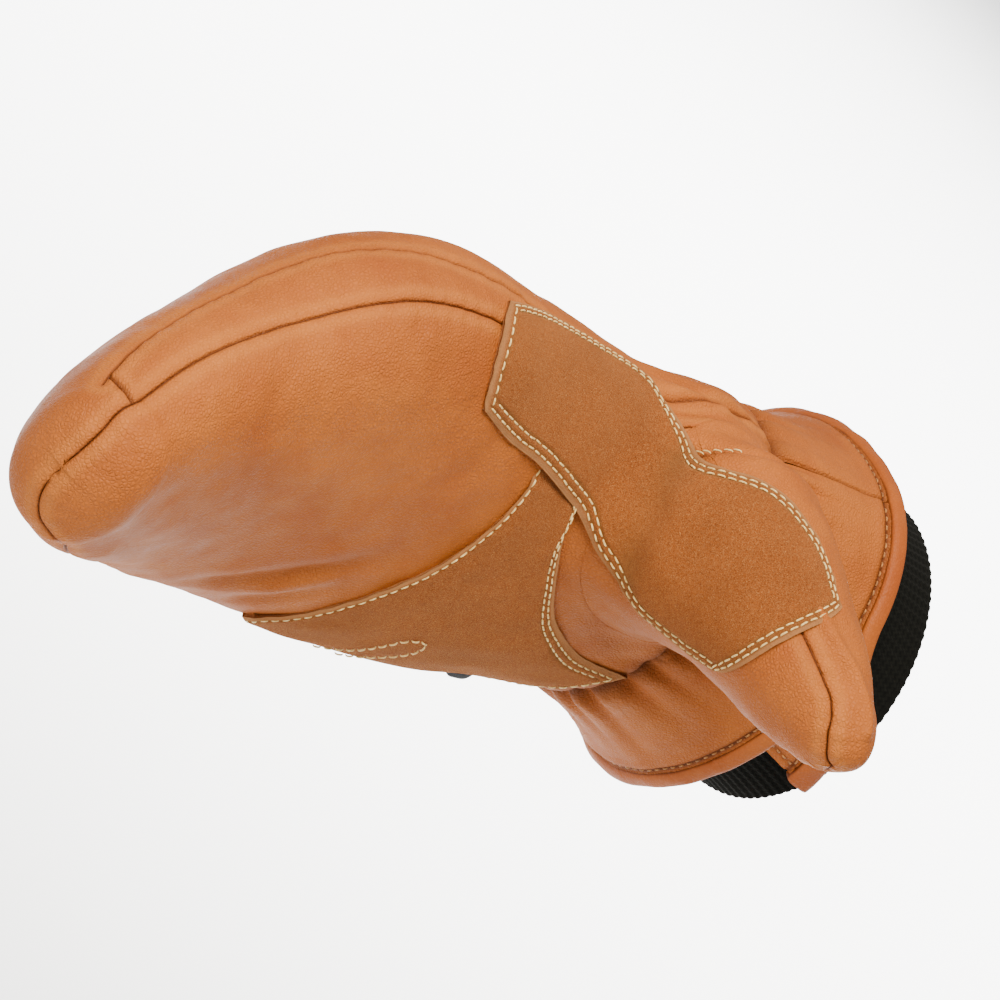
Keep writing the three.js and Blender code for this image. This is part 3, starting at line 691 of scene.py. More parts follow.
# Seams as lines in space, for the leather's turned-in edges
fineTip = handLast + tipLength * np.sin(np.linspace(0, np.pi / 2, 60)[1:])
fineAlong = np.concatenate([np.linspace(0, handLast, 420), fineTip])
palmShuts = int(np.argmax(palmIndexAngle(fineAlong) < 0.2)) + 1
palmIndexLine = handPoint(fineAlong, palmIndexAngle(fineAlong))[:palmShuts]
palmLittleLine = handPoint(fineAlong, palmLittleAngle(fineAlong))[:palmShuts]
inGusset = (fineAlong > backSeam["along"][0]) & (fineAlong < handLast)
backSeamLine = handPoint(fineAlong[inGusset], backSplitAngle(fineAlong[inGusset]))
crossSeam = {"along": 226, "lean": 5}


# From the gusset's back seam (0) to its palm seam (1)
def crossSeamAt(share):
    along = crossSeam["along"] + crossSeam["lean"] * (share - 0.5)
    return handPoint(along, backSplitAngle(along) * (1 - share) + palmIndexAngle(along) * share)


crossSeamLine = crossSeamAt(np.linspace(0, 1, 40))
seamEdge = {
    "radius": 1.1, "depth": 0.95, "valley": 0.5, "valleyWidth": 5.0, "pucker": 0.28, "puckerLength": 6.5,
    "puckerWidth": 4.0, "puckerStart": 0.8, "darkWidth": 0.34,
}


# Leather turns into a seam like a quarter circle, depth * (1 - sqrt(1 - share^2)), with a wide soft valley
# and small puckers beside it that fade like exp(-distance / width)
def seamRelief(distance, place, edge=seamEdge):
    inside = np.clip(1 - distance / edge["radius"], 0, 1)
    roll = edge["depth"] * (1 - np.sqrt(1 - inside**2))
    valley = edge["valley"] * np.exp(-distance / edge["valleyWidth"])
    phase = 2 * np.pi * place / edge["puckerLength"] + 1.5 * np.sin(place / 11) + 0.8 * np.sin(place / 5.3)
    pucker = edge["pucker"] * np.sin(phase) * np.exp(-distance / edge["puckerWidth"])
    pucker *= 1 - np.exp(-distance / edge["puckerStart"])
    return pucker - roll - valley


# Folds pressed into the leather: straight valleys between two points in space, with a low ridge beside them
handFolds = {
    "fromX": [-212, -193, -286, -212, -244, -228, -171, -198, -116, -114, -118, -107, -116],
    "fromY": [-26, -19, -55, -15, -25, -33, -24, -26, -24, -29, 8, 2, -5],
    "fromZ": [-44, -48, -25, 45, 25, 16, 27, -37, 44, 6, 50, 52, 49],
    "toX": [-168, -172, -226, -213, -247, -195, -174, -179, -120, -80, -98, -80, -84],
    "toY": [-27, -26, -33, -22, -37, -29, -27, -27, -41, -29, 3, -2, -7],
    "toZ": [-12, -24, -34, 38, 11, 10, 7, -22, 17, -5, 54, 56, 55],
    "width": [3.6, 3.0, 5.0, 2.2, 3.5, 9.0, 5.0, 2.0, 5.0, 4.0, 2.6, 2.6, 3.0],
    "depth": [1.6, 1.0, 0.8, 0.35, 0.3, 0.8, 0.6, 0.5, 3.1, 1.2, 1.6, 1.8, 1.9],
}
crotchFold = 8
crotchStart = np.array([handFolds["from" + axis][crotchFold] for axis in "XYZ"], float)
crotchEnd = np.array([handFolds["to" + axis][crotchFold] for axis in "XYZ"], float)
crotchLine = crotchStart + np.linspace(0, 1, 60)[:, None] * (crotchEnd - crotchStart)

# Wide shallow dents: behind the web patch on the back, and low on the little-finger side
dents = {
    "middle": [[-101, 21, 51], [-106, -17, -40]],
    "size": [[20, 14, 14], [38, 13, 13]],
    "depth": [3.6, 1.8],
}

# Painted shade in the hollow under the thumb: the leather is coloured darker there, where shade falls between
# thumb and palm
paintedHollowShade = {"middle": [-104, -36, 0], "size": [26, 22, 22], "shade": 0.2}


# The sum of depth * exp(-r^2), r being the distance in shares of the dent's size
def dentDepth(points):
    total = 0
    for middle, size, depth in zip(dents["middle"], dents["size"], dents["depth"]):
        apart = np.linalg.norm((points - np.array(middle)) / np.array(size), axis=-1)
        total = total + depth * np.exp(-(apart**2))
    return total


# Each fold takes off depth * exp(-(r / width)^2) and gives back a ridge of 0.45 of it at 1.9 widths;
# it fades to both ends like a sine
def foldRelief(points, folds):
    total = 0
    for fx, fy, fz, tx, ty, tz, width, depth in zip(*folds.values()):
        start = np.array([fx, fy, fz], float)
        way = np.array([tx, ty, tz], float) - start
        share = np.clip(((points - start) @ way) / (way @ way), 0, 1)
        apart = np.linalg.norm(points - start - share[..., None] * way, axis=-1)
        ends = np.sin(np.pi * np.clip(share, 0.04, 0.96)) ** 0.7
        valley = np.exp(-((apart / width) ** 2))
        ridge = 0.45 * np.exp(-(((apart - 1.9 * width) / width) ** 2))
        total = total - depth * ends * (valley - ridge)
    return total


# Pleats of the gathered wrist: 27 waves round it, of uneven length, with narrow valleys by a power of 1.7
def pleats(degrees):
    turn = np.radians(degrees)
    wave = np.sin(27 * turn + 1.6 * np.sin(4 * turn) + 0.9 * np.sin(9 * turn + 1))
    return (1 - 2 * (0.5 - 0.5 * wave) ** 1.7) * (0.75 + 0.25 * np.sin(7 * turn))


# The thumb's seam to the back shows as a crease over its root, from the web patch's notch towards the wrist;
# its bottom is coloured dark: the seam's dark line, with painted shade in the deep crease
thumbCrease = {
    "x": [-114, -112, -108, -103, -98, -91, -84, -77, -72],
    "y": [-21, -22, -24, -26, -27.5, -28.5, -28, -26, -22],
    "z": [48, 50, 56, 59, 60, 61, 60, 56, 50],
    "radius": 1.7,
    "depth": 2.0,
    "seamAndShadeRadius": 0.75,
    "ridge": 0.8,
    "ridgeAt": 6,
    "ridgeWidth": 4,
}
creasePlace = np.linspace(0, len(thumbCrease["x"]) - 1, 160)
creaseLine = settle(np.stack([tableCurve(thumbCrease, axis, None)(creasePlace) for axis in "xyz"], -1), 0)


# Cells deeper than this under the other part are left out
hiddenDepth = 6


# Uneven leather: the length and depth of long and of short waves
leatherWaves = {"long": 42, "longDepth": 0.5, "short": 13, "shortDepth": 0.16}


# The points settle on the joined form and sink where they pass under the other of the two parts;
# relief moves them along the form's own slope, which also holds at the tips
def leatherSheet(base, seams, isThumb):
    own, other = handAndThumb(base)[::-1] if isThumb else handAndThumb(base)
    near = other < crotchBlend + 4
    grid = base.copy()
    grid[near] = settle(base[near], -0.6 * np.maximum(-other[near], 0))
    own, other = handAndThumb(grid)[::-1] if isThumb else handAndThumb(grid)
    normals = slopeOf(grid)[1]
    normals /= np.maximum(np.linalg.norm(normals, axis=-1, keepdims=True), 1e-9)
    relief = leatherWaves["longDepth"] * softWaves(base, leatherWaves["long"], 3)
    relief = relief + leatherWaves["shortDepth"] * softWaves(base, leatherWaves["short"], 4)
    relief = relief * smoothStep(np.linalg.norm(base - handPoint(hand["length"], 0), axis=-1), 0, 30)
    relief = relief + foldRelief(grid, handFolds) - 1.6 * smoothStep(own - other, 0, 4)
    relief = relief - dentDepth(grid)
    closest, place = nearLines(base, seams)
    relief = relief + seamRelief(closest, place)
    toCrease = nearLine(grid, creaseLine)[0]
    relief -= thumbCrease["depth"] * np.exp(-((toCrease / thumbCrease["radius"]) ** 2))
    fromRidge = (toCrease - thumbCrease["ridgeAt"]) / thumbCrease["ridgeWidth"]
    relief += thumbCrease["ridge"] * np.exp(-(fromRidge**2))
    # Dark along the crease: the seam's line, with painted shade at the crease's bottom
    dark = 0.95 * np.exp(-((toCrease / thumbCrease["seamAndShadeRadius"]) ** 2))
    dark = np.maximum(0.9 * np.exp(-((closest / seamEdge["darkWidth"]) ** 2)), dark)
    light = 0.35 * np.exp(-(((closest - 2.6) / 1.6) ** 2))
    # Painted shade: the leather is coloured darker in the hollow under the thumb
    fromPaintedHollow = np.linalg.norm((grid - np.array(paintedHollowShade["middle"])) / np.array(paintedHollowShade["size"]), axis=-1)
    dark = np.maximum(dark, paintedHollowShade["shade"] * np.exp(-(fromPaintedHollow**4)))
    low = np.minimum(np.minimum(other[:-1, :-1], other[1:, 1:]), np.minimum(other[1:, :-1], other[:-1, 1:]))
    return grid, normals, relief, low > -hiddenDepth, {"seamDarkAndPaintedShade": dark, "edgeShade": light}


gatherEdge = {"roll": 3.4, "rollWidth": 8, "pleat": 0.8, "pleatWidth": 9, "dark": 0.75, "darkWidth": 2.0}


# The hand's leather also turns in at the gather, roll * (1 - sqrt(1 - share^2)), in pleats that fade like
# exp(-distance / width)
def handSheet(along, degrees, seams):
    base = handPoint(along, degrees)
    grid, normals, relief, keep, shades = leatherSheet(base, seams, False)
    fromGather = np.broadcast_to(along, relief.shape)
    inside = np.clip(1 - fromGather / gatherEdge["rollWidth"], 0, 1)
    roll = gatherEdge["roll"] * (1 - np.sqrt(1 - inside**2)) * smoothStep(base[..., 1], -32, -22)
    pleat = gatherEdge["pleat"] * pleats(degrees) * np.exp(-fromGather / gatherEdge["pleatWidth"])
    relief = relief - roll + pleat
    dark = gatherEdge["dark"] * np.exp(-fromGather / gatherEdge["darkWidth"])
    shades["seamDarkAndPaintedShade"] = np.maximum(shades["seamDarkAndPaintedShade"], dark)
    return grid + normals * relief[..., None], normals, keep, shades


# A leather panel of the hand or thumb; its inner side follows the form's own normals
def leatherPanel(name, node, grid, normals, keep, shades):
    makeWall(
        name, grid, walls["leather"], "hand", normals, keep=keep, shades=shades, material=tanGrain,
        slot="grain_leather", node=node, merge=True,
    )


# Palm panel: from the index seam across the palm to the little-finger seam, closed over the fingertip
rowAlong = handRows[:, None]
shares = crowded(120)[None]
degrees = palmIndexAngle(handRows)[:, None] * (1 - shares) + palmLittleAngle(handRows)[:, None] * shares
grid, normals, keep, shades = handSheet(rowAlong, degrees, [palmIndexLine, palmLittleLine])
leatherPanel("palm_panel_leather", "palm_panel", grid, normals, keep, shades)

# Back panel: from the little-finger seam over the back to the gusset's seam, and past the gusset's ends
stripShares = crowded(46)[None]
lean = crossSeam["lean"] * np.exp(-(((rowAlong - crossSeam["along"]) / 9) ** 2)) * (stripShares - 0.5)
stripAlong = np.clip(rowAlong + lean, 0, hand["length"])
stripDegrees = backSplitAngle(stripAlong) * (1 - stripShares) + palmIndexAngle(stripAlong) * stripShares
backShares = crowded(122)[None]
backEnd = 360 + backSplitAngle(stripAlong[:, :1])
backDegrees = palmLittleAngle(handRows)[:, None] * (1 - backShares) + backEnd * backShares
backAlong = rowAlong + (stripAlong[:, :1] - rowAlong) * smoothStep(backShares, 0.5, 1)
along = np.concatenate([backAlong, stripAlong[:, 1:]], 1)
degrees = np.concatenate([backDegrees, 360 + stripDegrees[:, 1:]], 1)
wristSeam = {"along": [0, 17, 33, 44, 66], "height": [-2, -4, -7, -8.6, -8]}
wristSeamAlong = np.linspace(0, 66, 120)
wristSeamAngle = seamAngle(
    wristSeamAlong, 1, tableCurve(wristSeam, "height")(wristSeamAlong), 0 * wristSeamAlong,
)
wristSeamLine = handPoint(wristSeamAlong, wristSeamAngle)
grid, normals, keep, shades = handSheet(
    along, degrees, [palmIndexLine, palmLittleLine, backSeamLine, crossSeamLine, wristSeamLine],
)
beforeTip = palmIndexAngle(handRows) > 0.2
keep = keep & beforeTip[:-1, None]
stripStart = backShares.shape[1] - 1
inStrip = np.arange(along.shape[1] - 1) >= stripStart
rowMiddle = (handRows[:-1] + handRows[1:]) / 2
inGussetRows = (rowMiddle > backSeam["along"][0]) & (rowMiddle < crossSeam["along"])
gussetCells = inStrip[None] & inGussetRows[:, None]
leatherPanel("back_panel_leather", "back_panel", grid, normals, keep & ~gussetCells, shades)
strip = np.s_[:, stripStart:]
stripShades = {key: values[strip] for key, values in shades.items()}
leatherPanel(
    "index_gusset_leather", "index_gusset", grid[strip], normals[strip], (keep & gussetCells)[strip],
    stripShades,
)

# Thumb: its two seams run up the index and little side and meet over the tip
thumbSeams = {
    "along": [60, 66, 71, 74, 75.3],
    "index": [38, 35, 14, -24, -62],
    "little": [-100, -100, -97, -86, -62],
}
thumbIndexAngle = tableCurve(thumbSeams, "index")
thumbLittleAngle = tableCurve(thumbSeams, "little")
thumbTip = thumbLast + (thumb["length"] - thumbLast) * np.sin(np.linspace(0, np.pi / 2, 60)[1:])
thumbRows = np.concatenate([np.linspace(thumbRoot, thumbLast, 150), thumbTip])
thumbSeamLines = []
# The index seam runs from the crease, the little-finger one from below the patch
for angle, start in ((thumbIndexAngle, 4), (thumbLittleAngle, 40)):
    nearTip = np.linspace(70, thumbSeams["along"][-1], 80)[1:]
    fineThumb = np.concatenate([np.linspace(start, 70, 150), nearTip])
    thumbSeamLines.append(thumbPoint(fineThumb, angle(fineThumb)))
thumbRidge = {
    "along": [30, 44.5, 55, 60.4, 68, 73], "angle": [52, 58, 67, 76, 84, 84], "height": 1.5, "width": 2.0,
}
ridgeAlong = np.linspace(30, 73, 140)
ridgeLine = thumbPoint(ridgeAlong, tableCurve(thumbRidge, "angle")(ridgeAlong))


# The thumb's leather also has the fold ridge, height * exp(-(r / width)^2)
def thumbSheet(along, degrees):
    base = thumbPoint(along, degrees)
    grid, normals, relief, keep, shades = leatherSheet(base, thumbSeamLines, True)
    ridgeApart = nearLine(base, ridgeLine)[0]
    ridge = np.exp(-((ridgeApart / thumbRidge["width"]) ** 2)) * smoothStep(along, 30, 42)
    relief = relief + thumbRidge["height"] * ridge
    return grid + normals * relief[..., None], normals, keep, shades


littleAngle = np.minimum(thumbLittleAngle(thumbRows), thumbSeams["index"][0])[:, None]
indexAngle = np.minimum(thumbIndexAngle(thumbRows), thumbSeams["index"][0])[:, None]
frontShares = crowded(90)[None]
grid, normals, keep, shades = thumbSheet(
    thumbRows[:, None], littleAngle * (1 - frontShares) + indexAngle * frontShares,
)
keep = keep & ((indexAngle - littleAngle)[:-1] > 0.4)
leatherPanel("thumb_front_leather", "thumb_front_panel", grid, normals, keep, shades)
backShares = crowded(110)[None]
grid, normals, keep, shades = thumbSheet(
    thumbRows[:, None], indexAngle * (1 - backShares) + (360 + littleAngle) * backShares,
)
leatherPanel("thumb_back_leather", "thumb_back_panel", grid, normals, keep, shades)
print("hand and thumb done")

# Suede patches: their two long edges, a row for each fold
webPatchRows = {
    "palmX": [-182, -168, -155, -140, -133, -125, -119.5, -115, -111, -107.5, -106, -106.5, -107.5],
    "palmY": [-24.5, -25, -24.5, -25.5, -27, -32.5, -38, -42.5, -47, -53.5, -61, -66, -72],
    "palmZ": [33, 29, 27, 23, 21, 17, 15, 13.5, 13, 14, 16.5, 18.5, 21.5],
    "backX": [-183, -161, -142, -125, -118, -114, -115.5, -115, -111, -105.5, -100.5, -96, -96],
    "backY": [-5, 1.5, 3.5, 3, -3, -15, -25.5, -31, -36, -41, -48, -59, -75],
    "backZ": [53.5, 53, 52, 51.5, 51, 50, 50, 52.5, 57, 60, 60.5, 59.5, 56],
    "bowX": [-4, -1.5, 0, 0, 0, 0, 0, 0, 0, 0, 0, 0, -2],
    "bowY": [0, 0, 0, 0, 0, 0, 0, 0, 0, 0, 0, 0, -5.5],
}
palmPatchRows = {
    "palmX": [
        -176.5, -170, -162, -155.5, -152, -152, -150.5, -138, -134, -131.5, -125, -114, -104, -90, -72,
    ],
    "palmY": [-17, -23.5, -27.5, -28.5, -28, -25.5, -25, -25.5, -26, -28.5, -30, -29.5, -29, -28, -28.5],
    "palmZ": [-51, -39, -22.5, -8, 10, 25, 30, 28, 22, 14, 5, -5.5, -11, -15, -14.5],
    "backX": [-176, -167, -155, -143, -133, -128, -125, -122, -119, -116, -111, -106, -101, -97, -93],
    "backY": [-12.5, -6, -4, -4, -4, -4, -4, -4, -4, -4, -4, -4.5, -5, -6, -7],
    "backZ": [-53, -55.5, -57, -57, -56.5, -56, -56, -55.5, -55.5, -55, -54.5, -53.5, -52.5, -51, -50],
    "bowX": [0] * 15,
    "bowY": [0] * 15,
}
# Rows of stitches by edge: distance from the edge, and the share of the edge from which the row runs
patchStitches = {
    "web": {
        "firstColumn": {2.2: 0, 4.5: 0}, "lastColumn": {2.0: 0, 3.8: 0}, "firstRow": {2.8: 0},
        "lastRow": {1.7: 0, 3.3: 0},
    },
    "palm": {
        "firstColumn": {2.4: 0, 4.7: 0.47}, "lastColumn": {2.2: 0}, "firstRow": {2.4: 0},
        "lastRow": {2.4: 0},
    },
}


# Each row of the patch is drawn from edge to edge, settled on the leather and spaced evenly
def patchGrid(rows, rowCount, columnCount):
    place = np.linspace(0, len(rows["palmX"]) - 1, rowCount)
    start = np.stack([tableCurve(rows, "palm" + axis, None)(place) for axis in "XYZ"], -1)[:, None]
    end = np.stack([tableCurve(rows, "back" + axis, None)(place) for axis in "XYZ"], -1)[:, None]
    lift = walls["gap"] + walls["suede"]
    share = np.linspace(0, 1, 48)[None, :, None]
    bow = np.stack(
        [tableCurve(rows, "bowX", None)(place), tableCurve(rows, "bowY", None)(place), 0 * place], -1,
    )[:, None]
    rough = settle(start + (end - start) * share + bow * 4 * share * (1 - share), lift)
    even = np.empty((rowCount, columnCount, 3))
    for row in range(rowCount):
        arc = arcLength(rough[row])
        wanted = np.linspace(0, arc[-1], columnCount)
        even[row] = np.stack([np.interp(wanted, arc, rough[row, :, axis]) for axis in range(3)], -1)
    for turn in range(5):
        for ease in range(12):
            sides = even[1:-1, 2:] + even[1:-1, :-2] + even[2:, 1:-1] + even[:-2, 1:-1]
            even[1:-1, 1:-1] = 0.5 * even[1:-1, 1:-1] + 0.125 * sides
        even[1:-1, 1:-1] = settle(even[1:-1, 1:-1], lift, 3)
    return settle(even, lift, 4)


gridEdges = ("firstColumn", "lastColumn", "firstRow", "lastRow")


# The grid turned so that the named edge is its first column
def fromEdge(values, edge):
    if edge == "firstColumn":
        return values
    if edge == "lastColumn":
        return values[:, ::-1]
    return np.swapaxes(values if edge == "firstRow" else values[::-1], 0, 1)


# A turned grid back in its own order
def toEdge(values, edge):
    if "Column" in edge:
        return fromEdge(values, edge)
    back = np.swapaxes(values, 0, 1)
    return back if edge == "firstRow" else back[::-1]


# Length walked over the grid from each of its four edges
def edgeDistances(grid):
    found = {}
    for edge in gridEdges:
        turned = fromEdge(grid, edge)
        steps = np.linalg.norm(np.diff(turned, axis=1), axis=-1)
        arc = np.concatenate([np.zeros((len(turned), 1)), np.cumsum(steps, 1)], 1)
        found[edge] = toEdge(arc, edge)
    return found


# A line at a distance in from one edge of the grid, cut back at both ends
def insetLine(grid, normals, edge, distance, trim, fromShare=0):
    turned, turnedNormals = fromEdge(grid, edge), fromEdge(normals, edge)
    arc = fromEdge(edgeDistances(grid)[edge], edge)
    after = np.clip((arc < distance).sum(1), 1, arc.shape[1] - 1)
    rows = np.arange(len(arc))
    before, behind = arc[rows, after - 1], arc[rows, after]
    part = ((distance - before) / np.maximum(behind - before, 1e-6))[:, None]
    line = turned[rows, after - 1] * (1 - part) + turned[rows, after] * part
    along = arcLength(line)
    inside = (along >= trim) & (along <= along[-1] - trim) & (rows >= fromShare * len(rows))
    return line[inside], turnedNormals[rows, after][inside]


# Stitches: short thread humps along lines, their ends diving into the holes
def makeStitches(name, runs, pitch, length, radius, material, slot):
    place, way, up = [], [], []
    for line, normals in runs:
        arc = arcLength(line)
        count = max(int(arc[-1] // pitch), 1)
        at = (np.arange(count) + 0.5) * arc[-1] / count
        step = np.gradient(line, arc, axis=0)
        for values, store in ((line, place), (step, way), (normals, up)):
            store.append(np.stack([np.interp(at, arc, values[:, axis]) for axis in range(3)], -1))
    place, way, up = (np.concatenate(part) for part in (place, way, up))
    up /= np.linalg.norm(up, axis=1, keepdims=True)
    way -= up * (way * up).sum(1, keepdims=True)
    way /= np.linalg.norm(way, axis=1, keepdims=True)
    cross = np.cross(up, way)
    turn = rng.normal(0, 0.06, len(way))[:, None]
    way, cross = way * np.cos(turn) + cross * np.sin(turn), cross * np.cos(turn) - way * np.sin(turn)
    ringPlace = np.array([-1.0, -0.93, -0.72, -0.3, 0.3, 0.72, 0.93, 1.0])
    ringHeight = np.array([-1.3, -0.8, 0.15, 0.55, 0.55, 0.15, -0.8, -1.3]) * radius
    ringSize = np.array([0.0, 0.75, 0.95, 1.0, 1.0, 0.95, 0.75, 0.0]) * radius
    turns = np.arange(7) * 2 * np.pi / 7
    stretch = length / 2 * rng.uniform(0.93, 1.05, len(place))
    t = stretch[:, None, None] * ringPlace[None, :, None]
    b = ringSize[None, :, None] * np.cos(turns)
    n = ringHeight[None, :, None] + ringSize[None, :, None] * np.sin(turns)
    points = place[:, None, None] + t[..., None] * way[:, None, None]
    points = points + b[..., None] * cross[:, None, None] + n[..., None] * up[:, None, None]
    index = np.arange(len(ringPlace) * len(turns)).reshape(len(ringPlace), len(turns))
    size = index.size
    index = np.concatenate([index, index[:, :1]], 1)
    faces = cells(index)[None] + (np.arange(len(place)) * size)[:, None, None]
    print("stitches", name, len(place))
    return makeMesh(name, points.reshape(-1, 3), faces.reshape(-1, 4), material, slot, merge=True)


# Where the web patch lies over the palm patch's hidden corner
overlap = {"middle": [-144, -25, 26], "radius": 13, "raise": 1.3, "sink": 1.4}


patchForm = {
    "pad": 0.4, "padFrom": 5, "padTo": 18, "wave": 0.22, "waveLength": 16, "edgeDrop": 0.8, "edgeWidth": 2.4,
    "edgeWave": 0.2, "edgeWaveLength": 5, "channel": 0.4, "channelWidth": 0.55, "foldShadeWidth": 4.5,
    "rawWidth": 1.5,
}


# A suede patch: padded towards its middle, thinner and wavy at its raw edge, and pressed in along its
# stitches, with painted shade along the crotch fold. Returns the lines on which its stitches run.
def makePatch(name, rows, counts, lines, node, seed):
    grid = patchGrid(rows, *counts)
    normals = gridNormals(grid)
    normals *= outwardSign(grid, normals, "hand")
    apart = edgeDistances(grid)
    closest = np.minimum.reduce(list(apart.values()))
    relief = patchForm["pad"] * smoothStep(closest, patchForm["padFrom"], patchForm["padTo"])
    relief += patchForm["wave"] * softWaves(grid, patchForm["waveLength"], seed) * smoothStep(closest, 3, 9)
    relief -= patchForm["edgeDrop"] * np.clip(1 - closest / patchForm["edgeWidth"], 0, 1) ** 1.5
    relief += patchForm["edgeWave"] * softWaves(
        grid, patchForm["edgeWaveLength"], seed + 1,
    ) * np.exp(-closest / 2.0)
    relief += foldRelief(grid, handFolds) - dentDepth(grid)
    channel = 0
    for edge, places in lines.items():
        others = np.minimum.reduce([apart[other] for other in apart if other != edge])
        shape = fromEdge(closest, edge).shape
        row = toEdge(np.broadcast_to(np.arange(shape[0])[:, None], shape), edge)
        for distance, fromShare in places.items():
            there = smoothStep(others, distance - 1.2, distance) * (row >= fromShare * shape[0])
            fromLine = (apart[edge] - distance) / patchForm["channelWidth"]
            channel = np.maximum(channel, there * np.exp(-(fromLine**2)))
    relief = relief - patchForm["channel"] * channel
    fromCorner = np.linalg.norm(grid - np.array(overlap["middle"]), axis=-1) / overlap["radius"]
    if node == "web_patch":
        relief = relief + overlap["raise"] * np.exp(-fromCorner**2)
    else:
        relief = relief - overlap["sink"] * smoothStep(grid[..., 2], 21, 26)
    # Painted shade along the crotch fold, joined with the stitch channels' darkening
    fromShadedFold = nearLine(grid, crotchLine)[0]
    channel = np.maximum(0.6 * channel, 0.5 * np.exp(-((fromShadedFold / patchForm["foldShadeWidth"]) ** 2)))
    raw = 0.8 * np.exp(-((closest / patchForm["rawWidth"]) ** 4)) * (1 - channel)
    shades = {"seamDarkAndPaintedShade": channel, "edgeShade": raw}
    grid = grid + normals * relief[..., None]
    makeWall(name, grid, walls["suede"], "hand", shades=shades, material=napSuede, slot="suede", node=node)
    runs = []
    for edge, places in lines.items():
        for distance, fromShare in places.items():
            runs.append(insetLine(grid, normals, edge, distance, distance, fromShare))
    return runs


thread = {"pitch": 2.75, "length": 2.35, "radius": 0.25}
webRuns = makePatch("web_patch_suede", webPatchRows, (260, 104), patchStitches["web"], "web_patch", 11)
makeStitches(
    "web_patch_thread", webRuns, thread["pitch"], thread["length"], thread["radius"], creamThread, "suede",
)
# Five short stitches across the thumb's crease
acrossCrease = np.array([[-0.7, 1.3, -0.4], [0.7, -1.1, 0.4]])
tackPlaces = [creaseLine[at] + acrossCrease for at in (16, 23, 30, 37, 44)]
tackRuns = [(settle(place, -0.2), slopeOf(place)[1]) for place in tackPlaces]
makeStitches("thumb_tack_thread", tackRuns, 2.3, 2.6, 0.24, creamThread, "grain_leather")
palmRuns = makePatch("palm_patch_suede", palmPatchRows, (210, 96), patchStitches["palm"], "palm_patch", 21)

# The stitched tongue on the palm patch: out, round its end and back
tongue = {
    "x": [-150, -144, -141.5, -139.4, -136.7, -134, -132.6, -132.2, -134, -137.5, -141],
    "y": [-12, -17, -20.5, -22.2, -22.8, -22.8, -22.2, -21, -19.4, -15.9, -11],
    "z": [-52, -44.5, -38.6, -34.1, -32, -31.6, -33, -36, -40.5, -46, -51.5],
}
tongueCurve = [tableCurve(tongue, key, None)(np.linspace(0, 10, 200)) for key in ("x", "y", "z")]
tongueLine = settle(np.stack(tongueCurve, -1), walls["gap"] + walls["suede"] + 0.35)
tongueNormal = slopeOf(tongueLine)[1]
palmRuns.append((tongueLine, tongueNormal))
makeStitches(
    "palm_patch_thread", palmRuns, thread["pitch"], thread["length"], thread["radius"], creamThread,
    "suede",
)
print("patches done")

# Cuff: from the gathered wrist to the hem ellipse, with a slit at the palm
hem = {
    "x": -18.5, "y": 3, "z": 8, "palm": 46.5, "back": 64, "little": 63, "index": 49.5, "tiltY": 0.17,
    "tiltZ": 0.04, "flare": 1.4,
}
cuffSeams = {"thumbSide": 101, "littleSide": 266}
slit = {
    "root": 184, "start": 0.4, "palmFlapEdge": 187, "thumbFlapEdge": 201, "reach": 24, "slope": 0.27,
    "overlap": 8,
}
flapSide = {"tuck": 155, "reach": 145, "tuckMargin": 6, "reachMargin": 4}
binding = {"depth": 5.5, "overhang": 0.8}
cuffLength = hem["x"] - gather["x"]
bindingShare = 1 - binding["depth"] / cuffLength


# The hem's ellipse, tilted: x grows with y and z
def hemPoint(degrees, lift):
    over, side = np.cos(np.radians(degrees)), np.sin(np.radians(degrees))
    y = over * (np.where(over > 0, hem["back"], hem["palm"]) + lift)
    z = side * (np.where(side > 0, hem["index"], hem["little"]) + lift)
    return np.stack([hem["x"] + hem["tiltY"] * y + hem["tiltZ"] * z, hem["y"] + y, hem["z"] + z], -1)


# Start and hem mixed by share^flare across the wrist, and evenly along it
def cuffPoint(share, degrees, lift):
    share, degrees, lift = np.broadcast_arrays(
        np.asarray(share, float), np.asarray(degrees, float), np.asarray(lift, float),
    )
    start, end = handPoint(-walls["gap"], degrees, lift), hemPoint(degrees, lift)
    opening = (np.clip(share, 0, 1) ** hem["flare"])[..., None]
    point = start + (end - start) * opening
    point[..., 0] = start[..., 0] + (end[..., 0] - start[..., 0]) * share
    return point


# The thumb flap sinks under the palm flap's edge and reaches past the hem at its corner
def thumbFlapPoint(share, degrees, lift):
    share, degrees, lift = np.broadcast_arrays(
        np.asarray(share, float), np.asarray(degrees, float), np.asarray(lift, float),
    )
    flapEnd = slit["thumbFlapEdge"] + flapSide["reachMargin"]
    whole = share * (cuffLength + slit["reach"] * smoothStep(degrees, flapSide["reach"], flapEnd))
    onCuff = np.minimum(whole / cuffLength, 1)
    tuck = walls["leather"] + binding["overhang"] + 2 * walls["gap"]
    tuckEnd = slit["palmFlapEdge"] - flapSide["tuckMargin"]
    sunk = tuck * smoothStep(degrees, flapSide["tuck"], tuckEnd) * smoothStep(onCuff, 0, slit["start"])
    point = cuffPoint(onCuff, degrees, lift - sunk)
    beyond = np.maximum(whole - cuffLength, 0)
    point[..., 0] += beyond
    point[..., 1] -= beyond * slit["slope"]
    return point


# Share of the way along the open part of the slit
def slitShare(share):
    return np.maximum(share - slit["start"], 0) / (1 - slit["start"])


